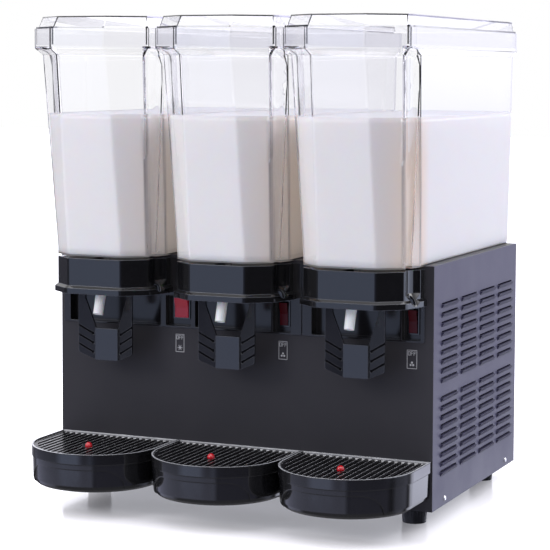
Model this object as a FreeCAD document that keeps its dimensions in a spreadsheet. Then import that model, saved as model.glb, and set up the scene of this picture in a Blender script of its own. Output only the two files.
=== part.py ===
import FreeCAD, Part
import math
import os
import re
import Sketcher

# A counter-top cold drink dispenser with three clear tanks side by side.
# X runs to the object's right, Y to its back and Z up. The origin is on the floor,
# under the middle of the whole object. All sizes are in millimetres.
doc = FreeCAD.newDocument("cold_drink_dispenser")
dims = doc.addObject("Spreadsheet::Sheet", "dims")

# Driving dimensions. A reach is measured forwards of the cabinet's front face, a back
# is measured behind it, and a half is measured from the middle of a module.
driving_dimensions = [
    # cabinet
    ("cabinet_width", 540),
    ("cabinet_depth", 362),
    ("cabinet_height", 315),
    ("module_pitch", 179.4),
    ("sheet_gauge", 1.2),
    ("overcut", 1),
    ("flange_width", 12),
    ("foot_height", 23),
    ("foot_radius", 17),
    ("foot_inset_x", 37),
    ("foot_taper", 1.5),
    ("foot_groove", 1.2),
    ("foot_band", 3),
    ("stud_rise", 3.6),
    ("stud_radius", 3),
    ("foot_inset_y", 38),
    ("foot_ribs", 18),
    # side louvres
    ("louvre_length", 64),
    ("louvre_pitch_y", 81),
    ("louvre_pitch_z", 12.1),
    ("louvre_height", 7),
    ("louvre_slot", 1.8),
    ("louvre_bulge", 3.6),
    ("louvre_columns", 4),
    ("louvre_rows", 9),
    ("louvre_group_rows", 10),
    ("louvre_first_y", 32),
    ("louvre_first_z", 63),
    # tank outline where it stands on the deck
    ("base_front_half", 39.6),
    ("base_front_reach", 72.5),
    ("base_shoulder_half", 68.4),
    ("base_shoulder_reach", 49),
    ("base_side_half", 77.8),
    ("base_side_reach", 14),
    ("base_back", 378),
    ("base_corner", 20),
    # tank outline at the neck, just below its collar
    ("neck_front_half", 36),
    ("neck_front_reach", 105.6),
    ("neck_shoulder_half", 76.6),
    ("neck_shoulder_reach", 73),
    ("neck_side_half", 82.6),
    ("neck_side_reach", 33),
    ("neck_back", 381),
    ("neck_corner", 22),
    # collar outline
    ("rim_front_half", 39.1),
    ("rim_front_reach", 116.8),
    ("rim_shoulder_half", 85.2),
    ("rim_shoulder_reach", 79.7),
    ("rim_side_half", 85.8),
    ("rim_side_reach", 60),
    ("rim_back", 390),
    ("rim_corner", 24),
    # tank heights above the deck, and its walls
    ("neck_height", 266),
    ("flare_height", 8.4),
    ("rim_height", 25.8),
    ("facet_round", 8),
    ("heel_height", 9),
    ("tank_wall", 3),
    ("tank_floor", 5),
    ("grip_radius_base", 22),
    ("grip_radius_neck", 24),
    ("grip_out", 14.5),
    ("grip_forward", 3),
    ("grip_arch", 31),
    ("grip_top", 274),
    # lid
    ("lid_wall", 2.4),
    ("lid_clearance", 1),
    ("lid_skirt", 21),
    ("lid_brim_inset", 2),
    ("lid_cap_inset", 5.5),
    ("lid_cap_height", 13.6),
    ("lid_front_setback", 9),
    ("lid_side_setback", 2),
    # cooling dome, seal and stirring drive
    ("dome_radius", 50),
    ("dome_height", 62),
    ("dome_crown", 14),
    ("dome_wall", 1.2),
    ("dome_back", 172),
    ("dome_pin_radius", 4),
    ("dome_pin_height", 26),
    ("seal_width", 4),
    ("seal_height", 11),
    ("seal_boss_step", 2),
    ("sleeve_clearance", 6),
    ("sleeve_drop", 21),
    ("motor_radius", 30),
    ("motor_height", 44),
    ("motor_plate", 2),
    ("motor_rim", 8),
    ("shaft_seat", 14),
    ("rotor_gap", 4),
    ("shaft_radius", 4),
    ("rotor_radius", 34),
    ("rotor_height", 12),
    ("running_clearance", 0.06),
    ("soft_clearance", 0.3),
    ("paddle_radius", 46),
    ("paddle_width", 22),
    ("paddle_gauge", 4),
    ("paddle_bend", 27.6),
    ("paddle_sweep", 6),
    ("hub_setback", 2),
    # tap shroud under the overhanging front of each tank
    ("shroud_drop", 50.3),
    ("shroud_seam", 3.4),
    ("shroud_wall", 3),
    ("shroud_ceiling", 3),
    ("lip_slope", 3),
    ("tab_height", 16),
    ("tab_slope", 12),
    ("tab_rest", 1.8),
    ("lip_height", 7.3),
    ("lip_reach", 4.5),
    ("tab_hole_radius", 4.5),
    ("tab_hole_set", 16),
    # outlet spout and soft tap tube
    ("spout_reach", 36.5),
    ("spout_tilt", 18),
    ("spout_radius", 5),
    ("spout_bore", 3.4),
    ("spout_length", 34),
    ("tube_start", 14),
    ("tube_radius", 7.4),
    ("tube_tip_radius", 6.6),
    ("tube_length", 68),
    # push lever
    ("pivot_reach", 33),
    ("pivot_drop", 27),
    ("pivot_pin_radius", 3),
    ("lug_gap", 0.5),
    ("lug_gauge", 3),
    ("slot_clearance", 1),
    ("lever_half", 40.3),
    ("lever_pad_half", 17),
    ("lever_pad_proud", 2),
    ("lever_pad_corner", 1.2),
    ("lever_reach", 37),
    ("lever_flare", 5.6),
    ("lever_gauge", 3.2),
    ("lever_bottom_drop", 143),
    ("lever_pad_drop", 100),
    ("lever_arm_drop", 60),
    ("lever_arm_width", 9.3),
    ("lever_corner_rise", 10),
    ("lever_corner", 4),
    ("lever_boss_radius", 7),
    ("lever_ear_corner", 6.3),
    ("pinch_radius", 3),
    ("pinch_drop", 11),
    ("spring_gauge", 1.4),
    ("spring_length", 9),
    ("groove_margin", 4),
    ("groove_width", 3),
    ("groove_depth", 1.2),
    ("groove_pitch", 12.6),
    ("groove_rows", 3),
    ("groove_first", 9),
    ("groove_tilt", 30),
    # fascia with lever recesses and switch windows
    ("fascia_proud", 2),
    ("fascia_wall", 2.4),
    ("fascia_bottom_drop", 98),
    ("fascia_top_drop", 4),
    ("fascia_left_margin", 5),
    ("fascia_right_margin", 11.4),
    ("fascia_gap", 1.2),
    ("fascia_corner", 2),
    ("recess_corner", 1.5),
    ("recess_depth", 18),
    ("recess_half", 76),
    ("second_recess_left", 65),
    ("first_recess_right", 63),
    ("recess_bottom_drop", 96),
    ("recess_top_drop", 40),
    ("recess_right", 46),
    ("narrow_window_width", 25.6),
    ("narrow_window_shift", 61.2),
    ("narrow_window_height", 43),
    ("narrow_window_depth", 10),
    ("wide_window_width", 38),
    ("wide_window_height", 41),
    ("wide_window_depth", 12),
    # rocker switches
    ("narrow_rocker_width", 11),
    ("narrow_rocker_height", 30),
    ("wide_rocker_width", 19.5),
    ("wide_rocker_height", 26.5),
    ("bezel_border", 2.8),
    ("bezel_corner", 1.5),
    ("bezel_proud", 2),
    ("rocker_tilt", 7),
    ("switch_depth", 22),
    ("switch_level", 71.5),
    ("rocker_front", 1),
    ("rocker_bulge", 1.5),
    ("rocker_depth", 6),
    ("rocker_clearance", 0.8),
    ("rocker_axle_depth", 3),
    ("rocker_axle_radius", 1.2),
    # drip tray, grille and float
    ("tray_half", 89.2),
    ("tray_taper", 1.8),
    ("tray_reach", 149),
    ("tray_height", 51),
    ("tray_bottom", 37),
    ("tray_draft", 0.6),
    ("tray_heel", 8),
    ("tray_wall", 2.5),
    ("tray_band", 14),
    ("tray_emboss", 1.3),
    ("tray_panel_half", 68),
    ("tray_panel_top", 30),
    ("tray_panel_corner", 24),
    ("tray_ledge", 4.5),
    ("tray_gap", 0.6),
    ("hook_width", 14),
    ("hook_spacing", 110),
    ("hook_height", 12),
    ("hook_gauge", 2.4),
    ("hook_neck", 4),
    ("hook_level", 30),
    ("tray_lift", 12),
    ("grille_gauge", 3),
    ("grille_drop", 1.6),
    ("grille_border", 5),
    ("grille_slots", 19),
    ("grille_slot_pitch", 9),
    ("grille_slot_width", 5),
    ("float_reach", 88),
    ("float_ball_radius", 4.8),
    ("float_disc_radius", 16),
    ("float_disc_height", 7),
    ("float_stem_radius", 2.2),
    ("float_rise", 1.5),
    # cooling plant inside the cabinet
    ("compressor_radius", 62),
    ("compressor_height", 150),
    ("compressor_side", 140),
    ("compressor_back", 220),
    ("compressor_foot", 10),
    ("compressor_plate_half", 46.5),
    ("compressor_mount_radius", 8),
    ("condenser_width", 210),
    ("condenser_height", 170),
    ("condenser_thickness", 36),
    ("condenser_fins", 14),
    ("condenser_rows", 5),
    ("condenser_side", 208),
    ("condenser_front", 76),
    ("condenser_tube", 4),
    ("fan_radius", 68),
    ("fan_hub_radius", 16),
    ("fan_thickness", 16),
    ("fan_tip_half", 22.4),
    ("fan_blade_gauge", 2.4),
    ("fan_margin", 1),
    ("fan_motor_radius", 24),
    ("fan_motor_length", 34),
    ("fan_flange", 4),
    ("fan_shaft_end", 2),
    ("fan_station", 125),
    ("fan_shaft_radius", 3),
    ("fan_stand_off", 6),
    ("fan_blades", 5),
    ("bracket_half", 46),
    ("bracket_top_half", 36.8),
    ("bracket_rise", 38.4),
    ("bracket_corner", 8),
    ("bracket_foot", 27.6),
    ("bracket_gauge", 2.4),
    ("gland_radius", 9),
    ("gland_neck_radius", 6.3),
    ("gland_nose_radius", 5.4),
    ("gland_nose", 8.1),
    ("cable_radius", 3.15),
    ("gland_side", 190),
    ("gland_level", 40),
    ("vent_width", 120),
    ("vent_middle", 72),
    ("vent_height", 4),
    ("vent_pitch", 12),
    ("vent_rows", 8),
    ("screw_radius", 3.6),
    ("screw_head", 2),
    ("screw_crown", 2.5),
    ("screw_shank", 3.6),
    ("screw_front", 48),
    ("screw_rear", 316),
    ("screw_level", 9),
]


def fill_sheet():
    for row, (alias, value) in enumerate(driving_dimensions, 1):
        dims.set("A%d" % row, alias)
        dims.set("B%d" % row, str(value))
        dims.setAlias("B%d" % row, alias)
    doc.recompute()


fill_sheet()
aliases = {alias for alias, value in driving_dimensions}

# Heights and places that several pieces share, worked out from the sheet.
deck = "(foot_height + cabinet_height)"
front_set = "(rim_back - tray_reach)/2"
rim_low = "(foot_height + cabinet_height + neck_height + flare_height)"
rim_top = "(foot_height + cabinet_height + neck_height + flare_height + rim_height)"
tray_rim = "(tray_bottom + tray_height)"
grille_low = "(tray_bottom + tray_height - grille_drop - grille_gauge)"
pivot_z = "(foot_height + cabinet_height - pivot_drop)"
lug_x = "(lever_half + lug_gap)"
made = []


# An expression over the sheet, with each alias written out in full.
def bound(text):
    return re.sub(r"[a-z][a-z_]+", lambda m: "dims." + m[0] if m[0] in aliases else m[0], text)


def size(text):
    return float(dims.evalExpression(bound(text)))


def new_body(name):
    return doc.addObject("PartDesign::Body", name)


# A corner is (x, y) or (x, y, radius). A rounded corner becomes two tangent points with
# an arc between them: each node is (x, y, radius of the arc that follows, sharp corner).
def rounded(corners):
    nodes = []
    spots = [FreeCAD.Vector(size(c[0]), size(c[1]), 0) for c in corners]
    for i, corner in enumerate(corners):
        if len(corner) == 2:
            nodes.append((corner[0], corner[1], None, None))
            continue
        back = spots[i - 1] - spots[i]
        ahead = spots[(i + 1) % len(corners)] - spots[i]
        reach = 1 / math.tan(back.getAngle(ahead) / 2)
        back.normalize()
        ahead.normalize()
        for toward, arc in ((back, corner[2]), (ahead, None)):
            nodes.append(("%s + (%s)*%.6f" % (corner[0], corner[2], toward.x * reach),
                          "%s + (%s)*%.6f" % (corner[1], corner[2], toward.y * reach),
                          arc, spots[i]))
    return nodes


# The corners of an outline moved inwards by a distance, each along its own bisector.
# Outlines run anticlockwise.
def inset(corners, distance):
    moved = []
    count = len(corners)
    spots = [FreeCAD.Vector(size(c[0]), size(c[1]), 0) for c in corners]
    for i, corner in enumerate(corners):
        came = spots[i] - spots[i - 1]
        went = spots[(i + 1) % count] - spots[i]
        first = FreeCAD.Vector(came.y, -came.x, 0).normalize()
        second = FreeCAD.Vector(went.y, -went.x, 0).normalize()
        share = (first + second) * (1 / (1 + first.dot(second)))
        place = ("%s - (%s)*%.6f" % (corner[0], distance, share.x),
                 "%s - (%s)*%.6f" % (corner[1], distance, share.y))
        if len(corner) == 3:
            turn = "%s - (%s)" % (corner[2], distance)
            place += (turn if size(turn) > 0.5 else "0.5",)
        moved.append(place)
    return moved


def attach(sketch, body, plane, level):
    support = next(f for f in body.Origin.OriginFeatures if f.Role == plane + "_Plane")
    sketch.AttachmentSupport = [(support, "")]
    sketch.MapMode = "FlatFace"
    sign = "-" if plane == "XZ" else ""
    sketch.setExpression("AttachmentOffset.Base.z", bound("%s(%s)" % (sign, level)))


def fix_point(sketch, edge, end, x, y):
    for kind, text in (("DistanceX", x), ("DistanceY", y)):
        number = sketch.addConstraint(Sketcher.Constraint(kind, -1, 1, edge, end, size(text)))
        sketch.setExpression("Constraints[%d]" % number, bound(text))


def fix_radius(sketch, edge, radius):
    number = sketch.addConstraint(Sketcher.Constraint("Radius", edge, size(radius)))
    sketch.setExpression("Constraints[%d]" % number, bound(radius))


def draw_outline(sketch, corners):
    nodes = rounded(corners)
    spots = [FreeCAD.Vector(size(node[0]), size(node[1]), 0) for node in nodes]
    edges = []
    for i, (x, y, arc, tip) in enumerate(nodes):
        start, end = spots[i], spots[(i + 1) % len(nodes)]
        if arc is None:
            edges.append((sketch.addGeometry(Part.LineSegment(start, end)), 1, 2))
            continue
        middle = (start + end) * 0.5
        away = (middle - tip).normalize()
        half_chord = (end - start).Length / 2
        lift = size(arc) - math.sqrt(max(size(arc) ** 2 - half_chord ** 2, 0))
        edge = sketch.addGeometry(Part.Arc(start, middle - away * lift, end))
        forward = sketch.Geometry[edge].StartPoint.distanceToPoint(start) < 1e-4
        edges.append((edge, 1, 2) if forward else (edge, 2, 1))
    for i, (edge, start, end) in enumerate(edges):
        after = edges[(i + 1) % len(edges)]
        sketch.addConstraint(Sketcher.Constraint("Coincident", edge, end, after[0], after[1]))
    for (edge, start, end), (x, y, arc, tip) in zip(edges, nodes):
        fix_point(sketch, edge, start, x, y)
        if arc is not None:
            fix_radius(sketch, edge, arc)


# A sketch of closed outlines and circles (x, y, radius) on one of the body's planes.
def draw(body, plane, outlines, level="0", circles=()):
    sketch = body.newObject("Sketcher::SketchObject", body.Name + "_outline")
    attach(sketch, body, plane, level)
    for corners in outlines:
        draw_outline(sketch, corners)
    for x, y, radius in circles:
        middle = FreeCAD.Vector(size(x), size(y), 0)
        ring = sketch.addGeometry(Part.Circle(middle, FreeCAD.Vector(0, 0, 1), size(radius)))
        fix_point(sketch, ring, 3, x, y)
        fix_radius(sketch, ring, radius)
    return sketch


def feature(body, kind, sketch):
    item = body.newObject("PartDesign::" + kind, body.Name + "_" + kind.lower())
    item.Profile = sketch
    body.Tip = item
    return item


# A pad or pocket from a sketch, along the plane's normal or against it.
def pad(body, sketch, length, against=False, kind="Pad"):
    item = feature(body, kind, sketch)
    item.setExpression("Length", bound(length))
    item.Reversed = against
    return item


def pocket(body, sketch, length, against=False):
    return pad(body, sketch, length, against, "Pocket")


def through(body, sketch):
    item = feature(body, "Pocket", sketch)
    item.Type = "ThroughAll"
    item.SideType = "Symmetric"
    return item


def spin(body, sketch, axis="V_Axis", kind="Revolution"):
    item = feature(body, kind, sketch)
    item.ReferenceAxis = (sketch, [axis])
    item.Angle = 360
    return item


def loft(body, sketches):
    item = feature(body, "AdditiveLoft", sketches[0])
    item.Sections = sketches[1:]
    item.Ruled = True
    return item


def repeat(body, originals, kind, axis, length, count):
    item = body.newObject("PartDesign::" + kind, body.Name + "_" + kind.lower())
    item.Originals = originals
    if kind == "LinearPattern":
        item.Direction = (axis, [""])
        item.setExpression("Length", bound(length))
    else:
        item.Axis = (axis, [""])
        item.Angle = 360
    item.setExpression("Occurrences", bound(count))
    body.Tip = item
    return item


def axis_of(body, role):
    return next(f for f in body.Origin.OriginFeatures if f.Role == role)


def cut(name, base, tool):
    item = doc.addObject("Part::Cut", name)
    item.Base = base
    item.Tool = tool
    return item


def join(name, shapes):
    item = doc.addObject("Part::MultiFuse", name)
    item.Shapes = shapes
    return item


def overlap(name, base, tool):
    item = doc.addObject("Part::Common", name)
    item.Base = base
    item.Tool = tool
    return item


def mirror(name, source):
    item = doc.addObject("Part::Mirroring", name)
    item.Source = source
    item.Normal = FreeCAD.Vector(1, 0, 0)
    return item


# A cylinder or cone from a point. It stands straight up, or turned about X or Y.
def rod(name, radius, height, x="0", y="0", z="0", tip_radius=None, about_x="0", about_y="0"):
    item = doc.addObject("Part::Cone" if tip_radius else "Part::Cylinder", name)
    item.setExpression("Radius1" if tip_radius else "Radius", bound(radius))
    if tip_radius:
        item.setExpression("Radius2", bound(tip_radius))
    item.setExpression("Height", bound(height))
    turn_y = about_y != "0"
    axis = FreeCAD.Vector(0, 1, 0) if turn_y else FreeCAD.Vector(1, 0, 0)
    item.Placement.Rotation = FreeCAD.Rotation(axis, 1)
    item.setExpression("Placement.Rotation.Angle", bound(about_y if turn_y else about_x))
    for axis, text in zip("xyz", (x, y, z)):
        item.setExpression("Placement.Base." + axis, bound(text))
    return item


# A finished piece: a placed copy of its pattern. The pattern is drawn with the cabinet's
# front face at y = 0; the copy moves it so that the origin is under the whole object.
def place(label, source, x="0", y="0", z="0", turn="0", about=(0, 0, 1)):
    item = doc.addObject("Part::Refine", label)
    item.Label = label
    item.Source = source
    item.Placement.Rotation = FreeCAD.Rotation(FreeCAD.Vector(*about), 1)
    item.setExpression("Placement.Rotation.Angle", bound(turn))
    item.setExpression("Placement.Base.x", bound(x))
    item.setExpression("Placement.Base.y", bound("%s - %s" % (y, front_set)))
    item.setExpression("Placement.Base.z", bound(z))
    made.append(item)
    return item


# Several separate solids that share one node.
def group(label, copies):
    for item in copies:
        made.remove(item)
    bunch = doc.addObject("Part::Compound", label)
    bunch.Label = label
    bunch.Links = copies
    made.append(bunch)
    return bunch


def module_x(number):
    return "(%d)*module_pitch" % (number - 2)


def box_corners(left, right, low, high, corner=None):
    spots = [(left, low), (right, low), (right, high), (left, high)]
    return [spot + (corner,) for spot in spots] if corner else spots


# The outline of a tank at one height, seen from above: a narrow front facet, two slanted
# facets, nearly straight sides and rounded rear corners.
def tank_corners(name, back=None, corner=None):
    back = back or name + "_back"
    corner = corner or name + "_corner"
    right = [(name + "_front_half", "-%s_front_reach" % name, "facet_round"),
             (name + "_shoulder_half", "-%s_shoulder_reach" % name, "facet_round"),
             (name + "_side_half", "-%s_side_reach" % name),
             (name + "_side_half", back, corner)]
    left = [("-" + c[0],) + c[1:] for c in reversed(right)]
    return left[-1:] + right + left[:-1]


# The middle of the finger channel beside the front facets, at the tank's base or neck.
def grip_middle(part):
    return ("((%s_shoulder_half + %s_side_half)/2 + grip_out)" % (part, part),
            "(-(%s_shoulder_reach + %s_side_reach)/2 - grip_forward)" % (part, part))


# The finger channel of a tank: a round groove that leans with the tank's front and ends
# in an arch under the collar.
def grip_cutter(name, grow):
    low = deck + " - tank_wall"
    arch = deck + " + grip_top + " + grow
    start, end = grip_middle("base"), grip_middle("neck")
    lean = ["(%s - %s)" % (end[i], start[i]) for i in (0, 1)]
    aside = "(%s^2 + %s^2)" % tuple(lean)
    rise = "(neck_height + tank_wall)"
    column = rod(name + "_column", "grip_radius_base + " + grow,
                 "sqrt(%s + %s^2) + grip_radius_neck" % (aside, rise), x=start[0], y=start[1], z=low,
                 tip_radius="grip_radius_neck + " + grow, about_x="atan(sqrt(%s)/%s)" % (aside, rise))
    column.setExpression("Placement.Rotation.Axis.x", bound("-" + lean[1]))
    column.setExpression("Placement.Rotation.Axis.y", bound(lean[0]))
    side = new_body(name + "_arch")
    front, rear = "-rim_front_reach", "-neck_side_reach + " + grow
    profile = [(front, low), (rear, low), (rear, arch, "grip_arch + " + grow), (front, arch)]
    pad(side, draw(side, "YZ", [profile]), "rim_side_half + grip_radius_neck*2")
    right = overlap(name + "_right", column, side)
    return join(name, [right, mirror(name + "_left", right)])


def make_tank():
    shell = new_body("tank_outer")
    heel = tank_corners("base", "base_back - heel_height", "base_corner - heel_height/2")
    levels = [(heel, deck), (tank_corners("base"), deck + " + heel_height"),
              (tank_corners("neck"), deck + " + neck_height"),
              (tank_corners("rim"), rim_low), (tank_corners("rim"), rim_top)]
    loft(shell, [draw(shell, "XY", [corners], level) for corners, level in levels])
    space = new_body("tank_space")
    inner = [(levels[0][0], deck + " + tank_floor"),
             (levels[1][0], deck + " + tank_floor + heel_height"),
             levels[2], levels[3], (levels[4][0], rim_top + " + tank_wall")]
    loft(space, [draw(space, "XY", [inset(corners, "tank_wall")], level)
                 for corners, level in inner])
    grips = grip_cutter("tank_grips", "0")
    wide_grips = grip_cutter("tank_grips_inside", "tank_wall")
    hollow = cut("tank_hollow", space, wide_grips)
    walls = cut("tank_walls", cut("tank_gripped", shell, grips), hollow)
    hole = "dome_radius + seal_width + soft_clearance"
    boss = rod("seal_boss", hole + " + tank_wall", "seal_height + seal_boss_step",
               y="dome_back", z=deck)
    drop = "tank_wall"
    spout = rod("outlet_spout", "spout_radius", "spout_length + " + drop,
                y="-spout_reach + %s*sin(spout_tilt)" % drop,
                z="%s + %s*cos(spout_tilt)" % (deck, drop), about_x="180 - spout_tilt")
    above = "tank_floor + tank_wall"
    bore = rod("outlet_bore", "spout_bore", "spout_length + (%s)*2" % above,
               y="-spout_reach + (%s)*sin(spout_tilt)" % above,
               z="%s + (%s)*cos(spout_tilt)" % (deck, above), about_x="180 - spout_tilt")
    dome_hole = rod("dome_hole", hole, "tank_wall*2 + seal_height*2", y="dome_back",
                    z=deck + " - tank_wall")
    full = join("tank_with_bosses", [walls, boss, spout])
    return cut("tank_bored", cut("tank_with_hole", full, dome_hole), bore)


def make_tap_tube():
    start = "tube_start"
    place_of = {"y": "-spout_reach - (%s)*sin(spout_tilt)", "z": deck + " - (%s)*cos(spout_tilt)"}
    outer = rod("tube_outer", "tube_radius", "tube_length", y=place_of["y"] % start,
                z=place_of["z"] % start, tip_radius="tube_tip_radius", about_x="180 - spout_tilt")
    early = start + " - overcut"
    bore = rod("tube_bore", "spout_radius + running_clearance", "tube_length + overcut*2",
               y=place_of["y"] % early, z=place_of["z"] % early, about_x="180 - spout_tilt")
    return cut("tap_tube", outer, bore)


# The lid: a skirt inside the collar, a brim on it, and a bevelled hollow cap.
def make_lid():
    body = new_body("lid_shell")
    rim = tank_corners("rim")
    skirt = inset(rim, "tank_wall + lid_clearance")
    pad(body, draw(body, "XY", [skirt], rim_top + " - lid_skirt"), "lid_skirt + lid_wall")
    pad(body, draw(body, "XY", [inset(rim, "lid_brim_inset")], rim_top), "lid_wall")
    cap = inset(rim, "lid_cap_inset")
    crown = inset(rim, "lid_cap_inset + lid_side_setback")
    crown = [(c[0], c[1] + " + lid_front_setback - lid_side_setback") + c[2:]
             if size(c[1]) < 0 else c for c in crown]
    low = rim_top + " + lid_wall"
    loft(body, [draw(body, "XY", [cap], low), draw(body, "XY", [crown], low + " + lid_cap_height")])
    space = new_body("lid_space")
    under = inset(crown, "lid_wall")
    throat = inset(skirt, "lid_wall")
    loft(space, [draw(space, "XY", [throat], rim_top + " - lid_skirt - lid_wall"),
                 draw(space, "XY", [throat], rim_top),
                 draw(space, "XY", [under], low + " + lid_cap_height - lid_wall")])
    return cut("lid", body, space)


# The finger channel of the shroud: upright, with a tab at its foot that slopes out to the
# lip's edge.
def shroud_grip(name, grow):
    x, y = grip_middle("base")
    foot = deck + " - shroud_drop + tab_rest"
    radius = "grip_radius_base + " + grow
    right = [rod(name + "_channel", radius, "shroud_drop", x=x, y=y, z=foot + " + tab_height"),
             rod(name + "_tab", radius + " - tab_slope", "tab_height", x=x, y=y,
                 z=foot, tip_radius=radius)]
    return join(name, right + [mirror(item.Name + "_left", item) for item in right])


# The round hole down through a tab, set inwards from the middle of the finger channel.
def tab_hole():
    x, y = grip_middle("base")
    ahead, aside = "(base_shoulder_reach - base_side_reach)", "(base_side_half - base_shoulder_half)"
    step = "tab_hole_set/sqrt(%s^2 + %s^2)" % (ahead, aside)
    right = rod("tab_hole", "tab_hole_radius", "tab_rest + tab_height + overcut",
                x="%s - %s*%s" % (x, ahead, step), y="%s + %s*%s" % (y, aside, step),
                z=deck + " - shroud_drop - overcut")
    return [right, mirror("tab_hole_left", right)]


# The glossy shroud under the front of each tank hides the lever's pivot and the outlet.
# It follows the tank's outline, stands out as a lip below, and has the same finger channels.
def make_shroud():
    top = deck + " - shroud_seam"
    bottom = deck + " - shroud_drop"
    band = tank_corners("base", "-fascia_proud")
    band = [c[:2] if c[1] == "-fascia_proud" else c for c in band]
    lip = [(c[0], "-fascia_proud") if base[1] == "-fascia_proud" else c
           for c, base in zip(inset(band, "-lip_reach"), band)]
    body = new_body("shroud_outer")
    levels = [(lip, bottom), (lip, bottom + " + lip_height"),
              (band, bottom + " + lip_height + lip_slope"), (band, top)]
    loft(body, [draw(body, "XY", [corners], level) for corners, level in levels])
    space = new_body("shroud_space")
    pad(space, draw(space, "XY", [inset(band, "shroud_wall")], bottom + " - shroud_wall"),
        "shroud_drop - shroud_seam - shroud_ceiling + shroud_wall")
    hollow = cut("shroud_hollow", space, shroud_grip("shroud_grips_inside", "shroud_wall"))
    walls = cut("shroud_walls", cut("shroud_gripped", body, shroud_grip("shroud_grips", "0")),
                hollow)
    lugs = new_body("shroud_lugs")
    front = "-pivot_reach - lever_boss_radius"
    rear = "-fascia_proud - shroud_wall/2"
    foot = pivot_z + " - lever_boss_radius"
    lug_top = top + " - shroud_ceiling/2"
    lug = [(front, foot, "lever_boss_radius"), (rear, foot), (rear, lug_top), (front, lug_top)]
    pad(lugs, draw(lugs, "YZ", [lug], lug_x), "lug_gauge")
    holed = join("shroud_with_lugs", [walls, lugs, mirror("shroud_lugs_left", lugs)])
    reach = "(%s + lug_gauge + overcut)" % lug_x
    pin = rod("pivot_hole", "pivot_pin_radius + running_clearance", reach + "*2",
              x="-" + reach, y="-pivot_reach", z=pivot_z, about_y="90")
    slot = new_body("spout_slot")
    half = "(tube_radius + slot_clearance)"
    pad(slot, draw(slot, "XY", [box_corners("-" + half, half, "-base_front_reach + shroud_wall",
                                            "-spout_reach + " + half)],
                   top + " - shroud_ceiling*2"), "shroud_ceiling*3")
    return cut("shroud", holed, join("shroud_holes", [pin, slot] + tab_hole()))


# The push lever: a plate with a raised pad in its flat middle and wings that come forward,
# two arms up to the pivot, a bar behind the tube that pinches it, and rows of grip grooves.
def make_lever():
    low = deck + " - lever_bottom_drop"
    pad_top = deck + " - lever_pad_drop"
    shoulder = deck + " - lever_arm_drop"
    arm_inside = "(lever_half - lever_arm_width)"
    arm_top = pivot_z + " + lever_boss_radius/2"
    half = [("lever_pad_half", low), ("lever_half", low + " + lever_corner_rise", "lever_corner"),
            ("lever_half", arm_top), (arm_inside, arm_top), (arm_inside, shoulder),
            ("lever_pad_half", pad_top)]
    front = new_body("lever_front")
    outline = half + [("-" + c[0],) + c[1:] for c in reversed(half)]
    pad(front, draw(front, "XZ", [outline]), "lever_reach + lever_flare*2")
    plan = new_body("lever_plan")
    nose = "-lever_reach - lever_flare"
    face = [("-lever_half", nose), ("-lever_pad_half", "-lever_reach"),
            ("lever_pad_half", "-lever_reach"), ("lever_half", nose)]
    rear = [(c[0], c[1] + " + lever_gauge") for c in reversed(face)]
    pad(plan, draw(plan, "XY", [face + rear], low + " - overcut"), "lever_bottom_drop")
    plate = overlap("lever_plate", front, plan)
    block = new_body("lever_block")
    square = box_corners("-lever_pad_half", "lever_pad_half", low, pad_top, "lever_pad_corner")
    pad(block, draw(block, "XZ", [square], "-lever_reach + lever_gauge/2"),
        "lever_gauge/2 + lever_pad_proud")
    whole = join("lever_whole", [plate, block] + lever_ears(arm_inside, nose))
    hole = rod("lever_pin_hole", "pivot_pin_radius + running_clearance", "(lever_half + overcut)*2",
               x="-lever_half - overcut", y="-pivot_reach", z=pivot_z, about_y="90")
    grooves = lever_grooves(face, low)
    tools = join("lever_cuts", [grooves, mirror("lever_grooves_left", grooves), hole])
    return cut("lever", whole, tools)


# The two ears round the pivot, and the pinch bar from one to the other.
def lever_ears(arm_inside, nose):
    ears = new_body("lever_ears")
    rear = "-pivot_reach + lever_boss_radius"
    low, foot = pivot_z + " - lever_boss_radius", pivot_z + " - lever_boss_radius*2"
    top = pivot_z + " + lever_boss_radius"
    ear = [(nose, foot), (nose + " + lever_gauge", foot), (rear, low, "lever_ear_corner"),
           (rear, top, "lever_ear_corner"), (nose, top, "lever_ear_corner/2")]
    pad(ears, draw(ears, "YZ", [ear], arm_inside), "lever_arm_width")
    drop = "(pivot_drop + pinch_drop)"
    gap = "(tube_radius + pinch_radius + soft_clearance*2)"
    bar = rod("pinch_bar", "pinch_radius", arm_inside + "*2", x="-" + arm_inside,
              y="-spout_reach - %s*tan(spout_tilt) + %s/cos(spout_tilt)" % (drop, gap),
              z=pivot_z + " - pinch_drop", about_y="90")
    return [ears, mirror("lever_ears_left", ears), bar]


# The grip grooves of one wing: they rise outwards, and each starts in a round pit.
def lever_grooves(face, low):
    skin = new_body("groove_layer")
    layer = [(c[0], c[1] + " - overcut") for c in face]
    layer += [(c[0], c[1] + " + groove_depth") for c in reversed(face)]
    pad(skin, draw(skin, "XY", [layer], low), "lever_bottom_drop/2")
    rows = new_body("groove_bars")
    left, right = "(lever_pad_half + groove_margin)", "(lever_half + overcut)"
    first = low + " + groove_first"
    rise = "(%s - %s)*tan(groove_tilt)" % (right, left)
    groove = [(left, first), (right, first + " + " + rise),
              (right, first + " + groove_width + " + rise), (left, first + " + groove_width")]
    strip = pad(rows, draw(rows, "XZ", [groove]), "lever_reach*2")
    pit = [(left, first + " + groove_width/2", "groove_width*2/3")]
    pit = pad(rows, draw(rows, "XZ", [], "0", pit), "lever_reach*2")
    repeat(rows, [strip, pit], "LinearPattern", axis_of(rows, "Z_Axis"),
           "groove_pitch*(groove_rows - 1)", "groove_rows")
    return overlap("lever_grooves", rows, skin)


def make_pin():
    reach = "(%s + lug_gauge)" % lug_x
    return rod("lever_pin", "pivot_pin_radius", reach + "*2", x="-" + reach, y="-pivot_reach",
               z=pivot_z, about_y="90")


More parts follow.
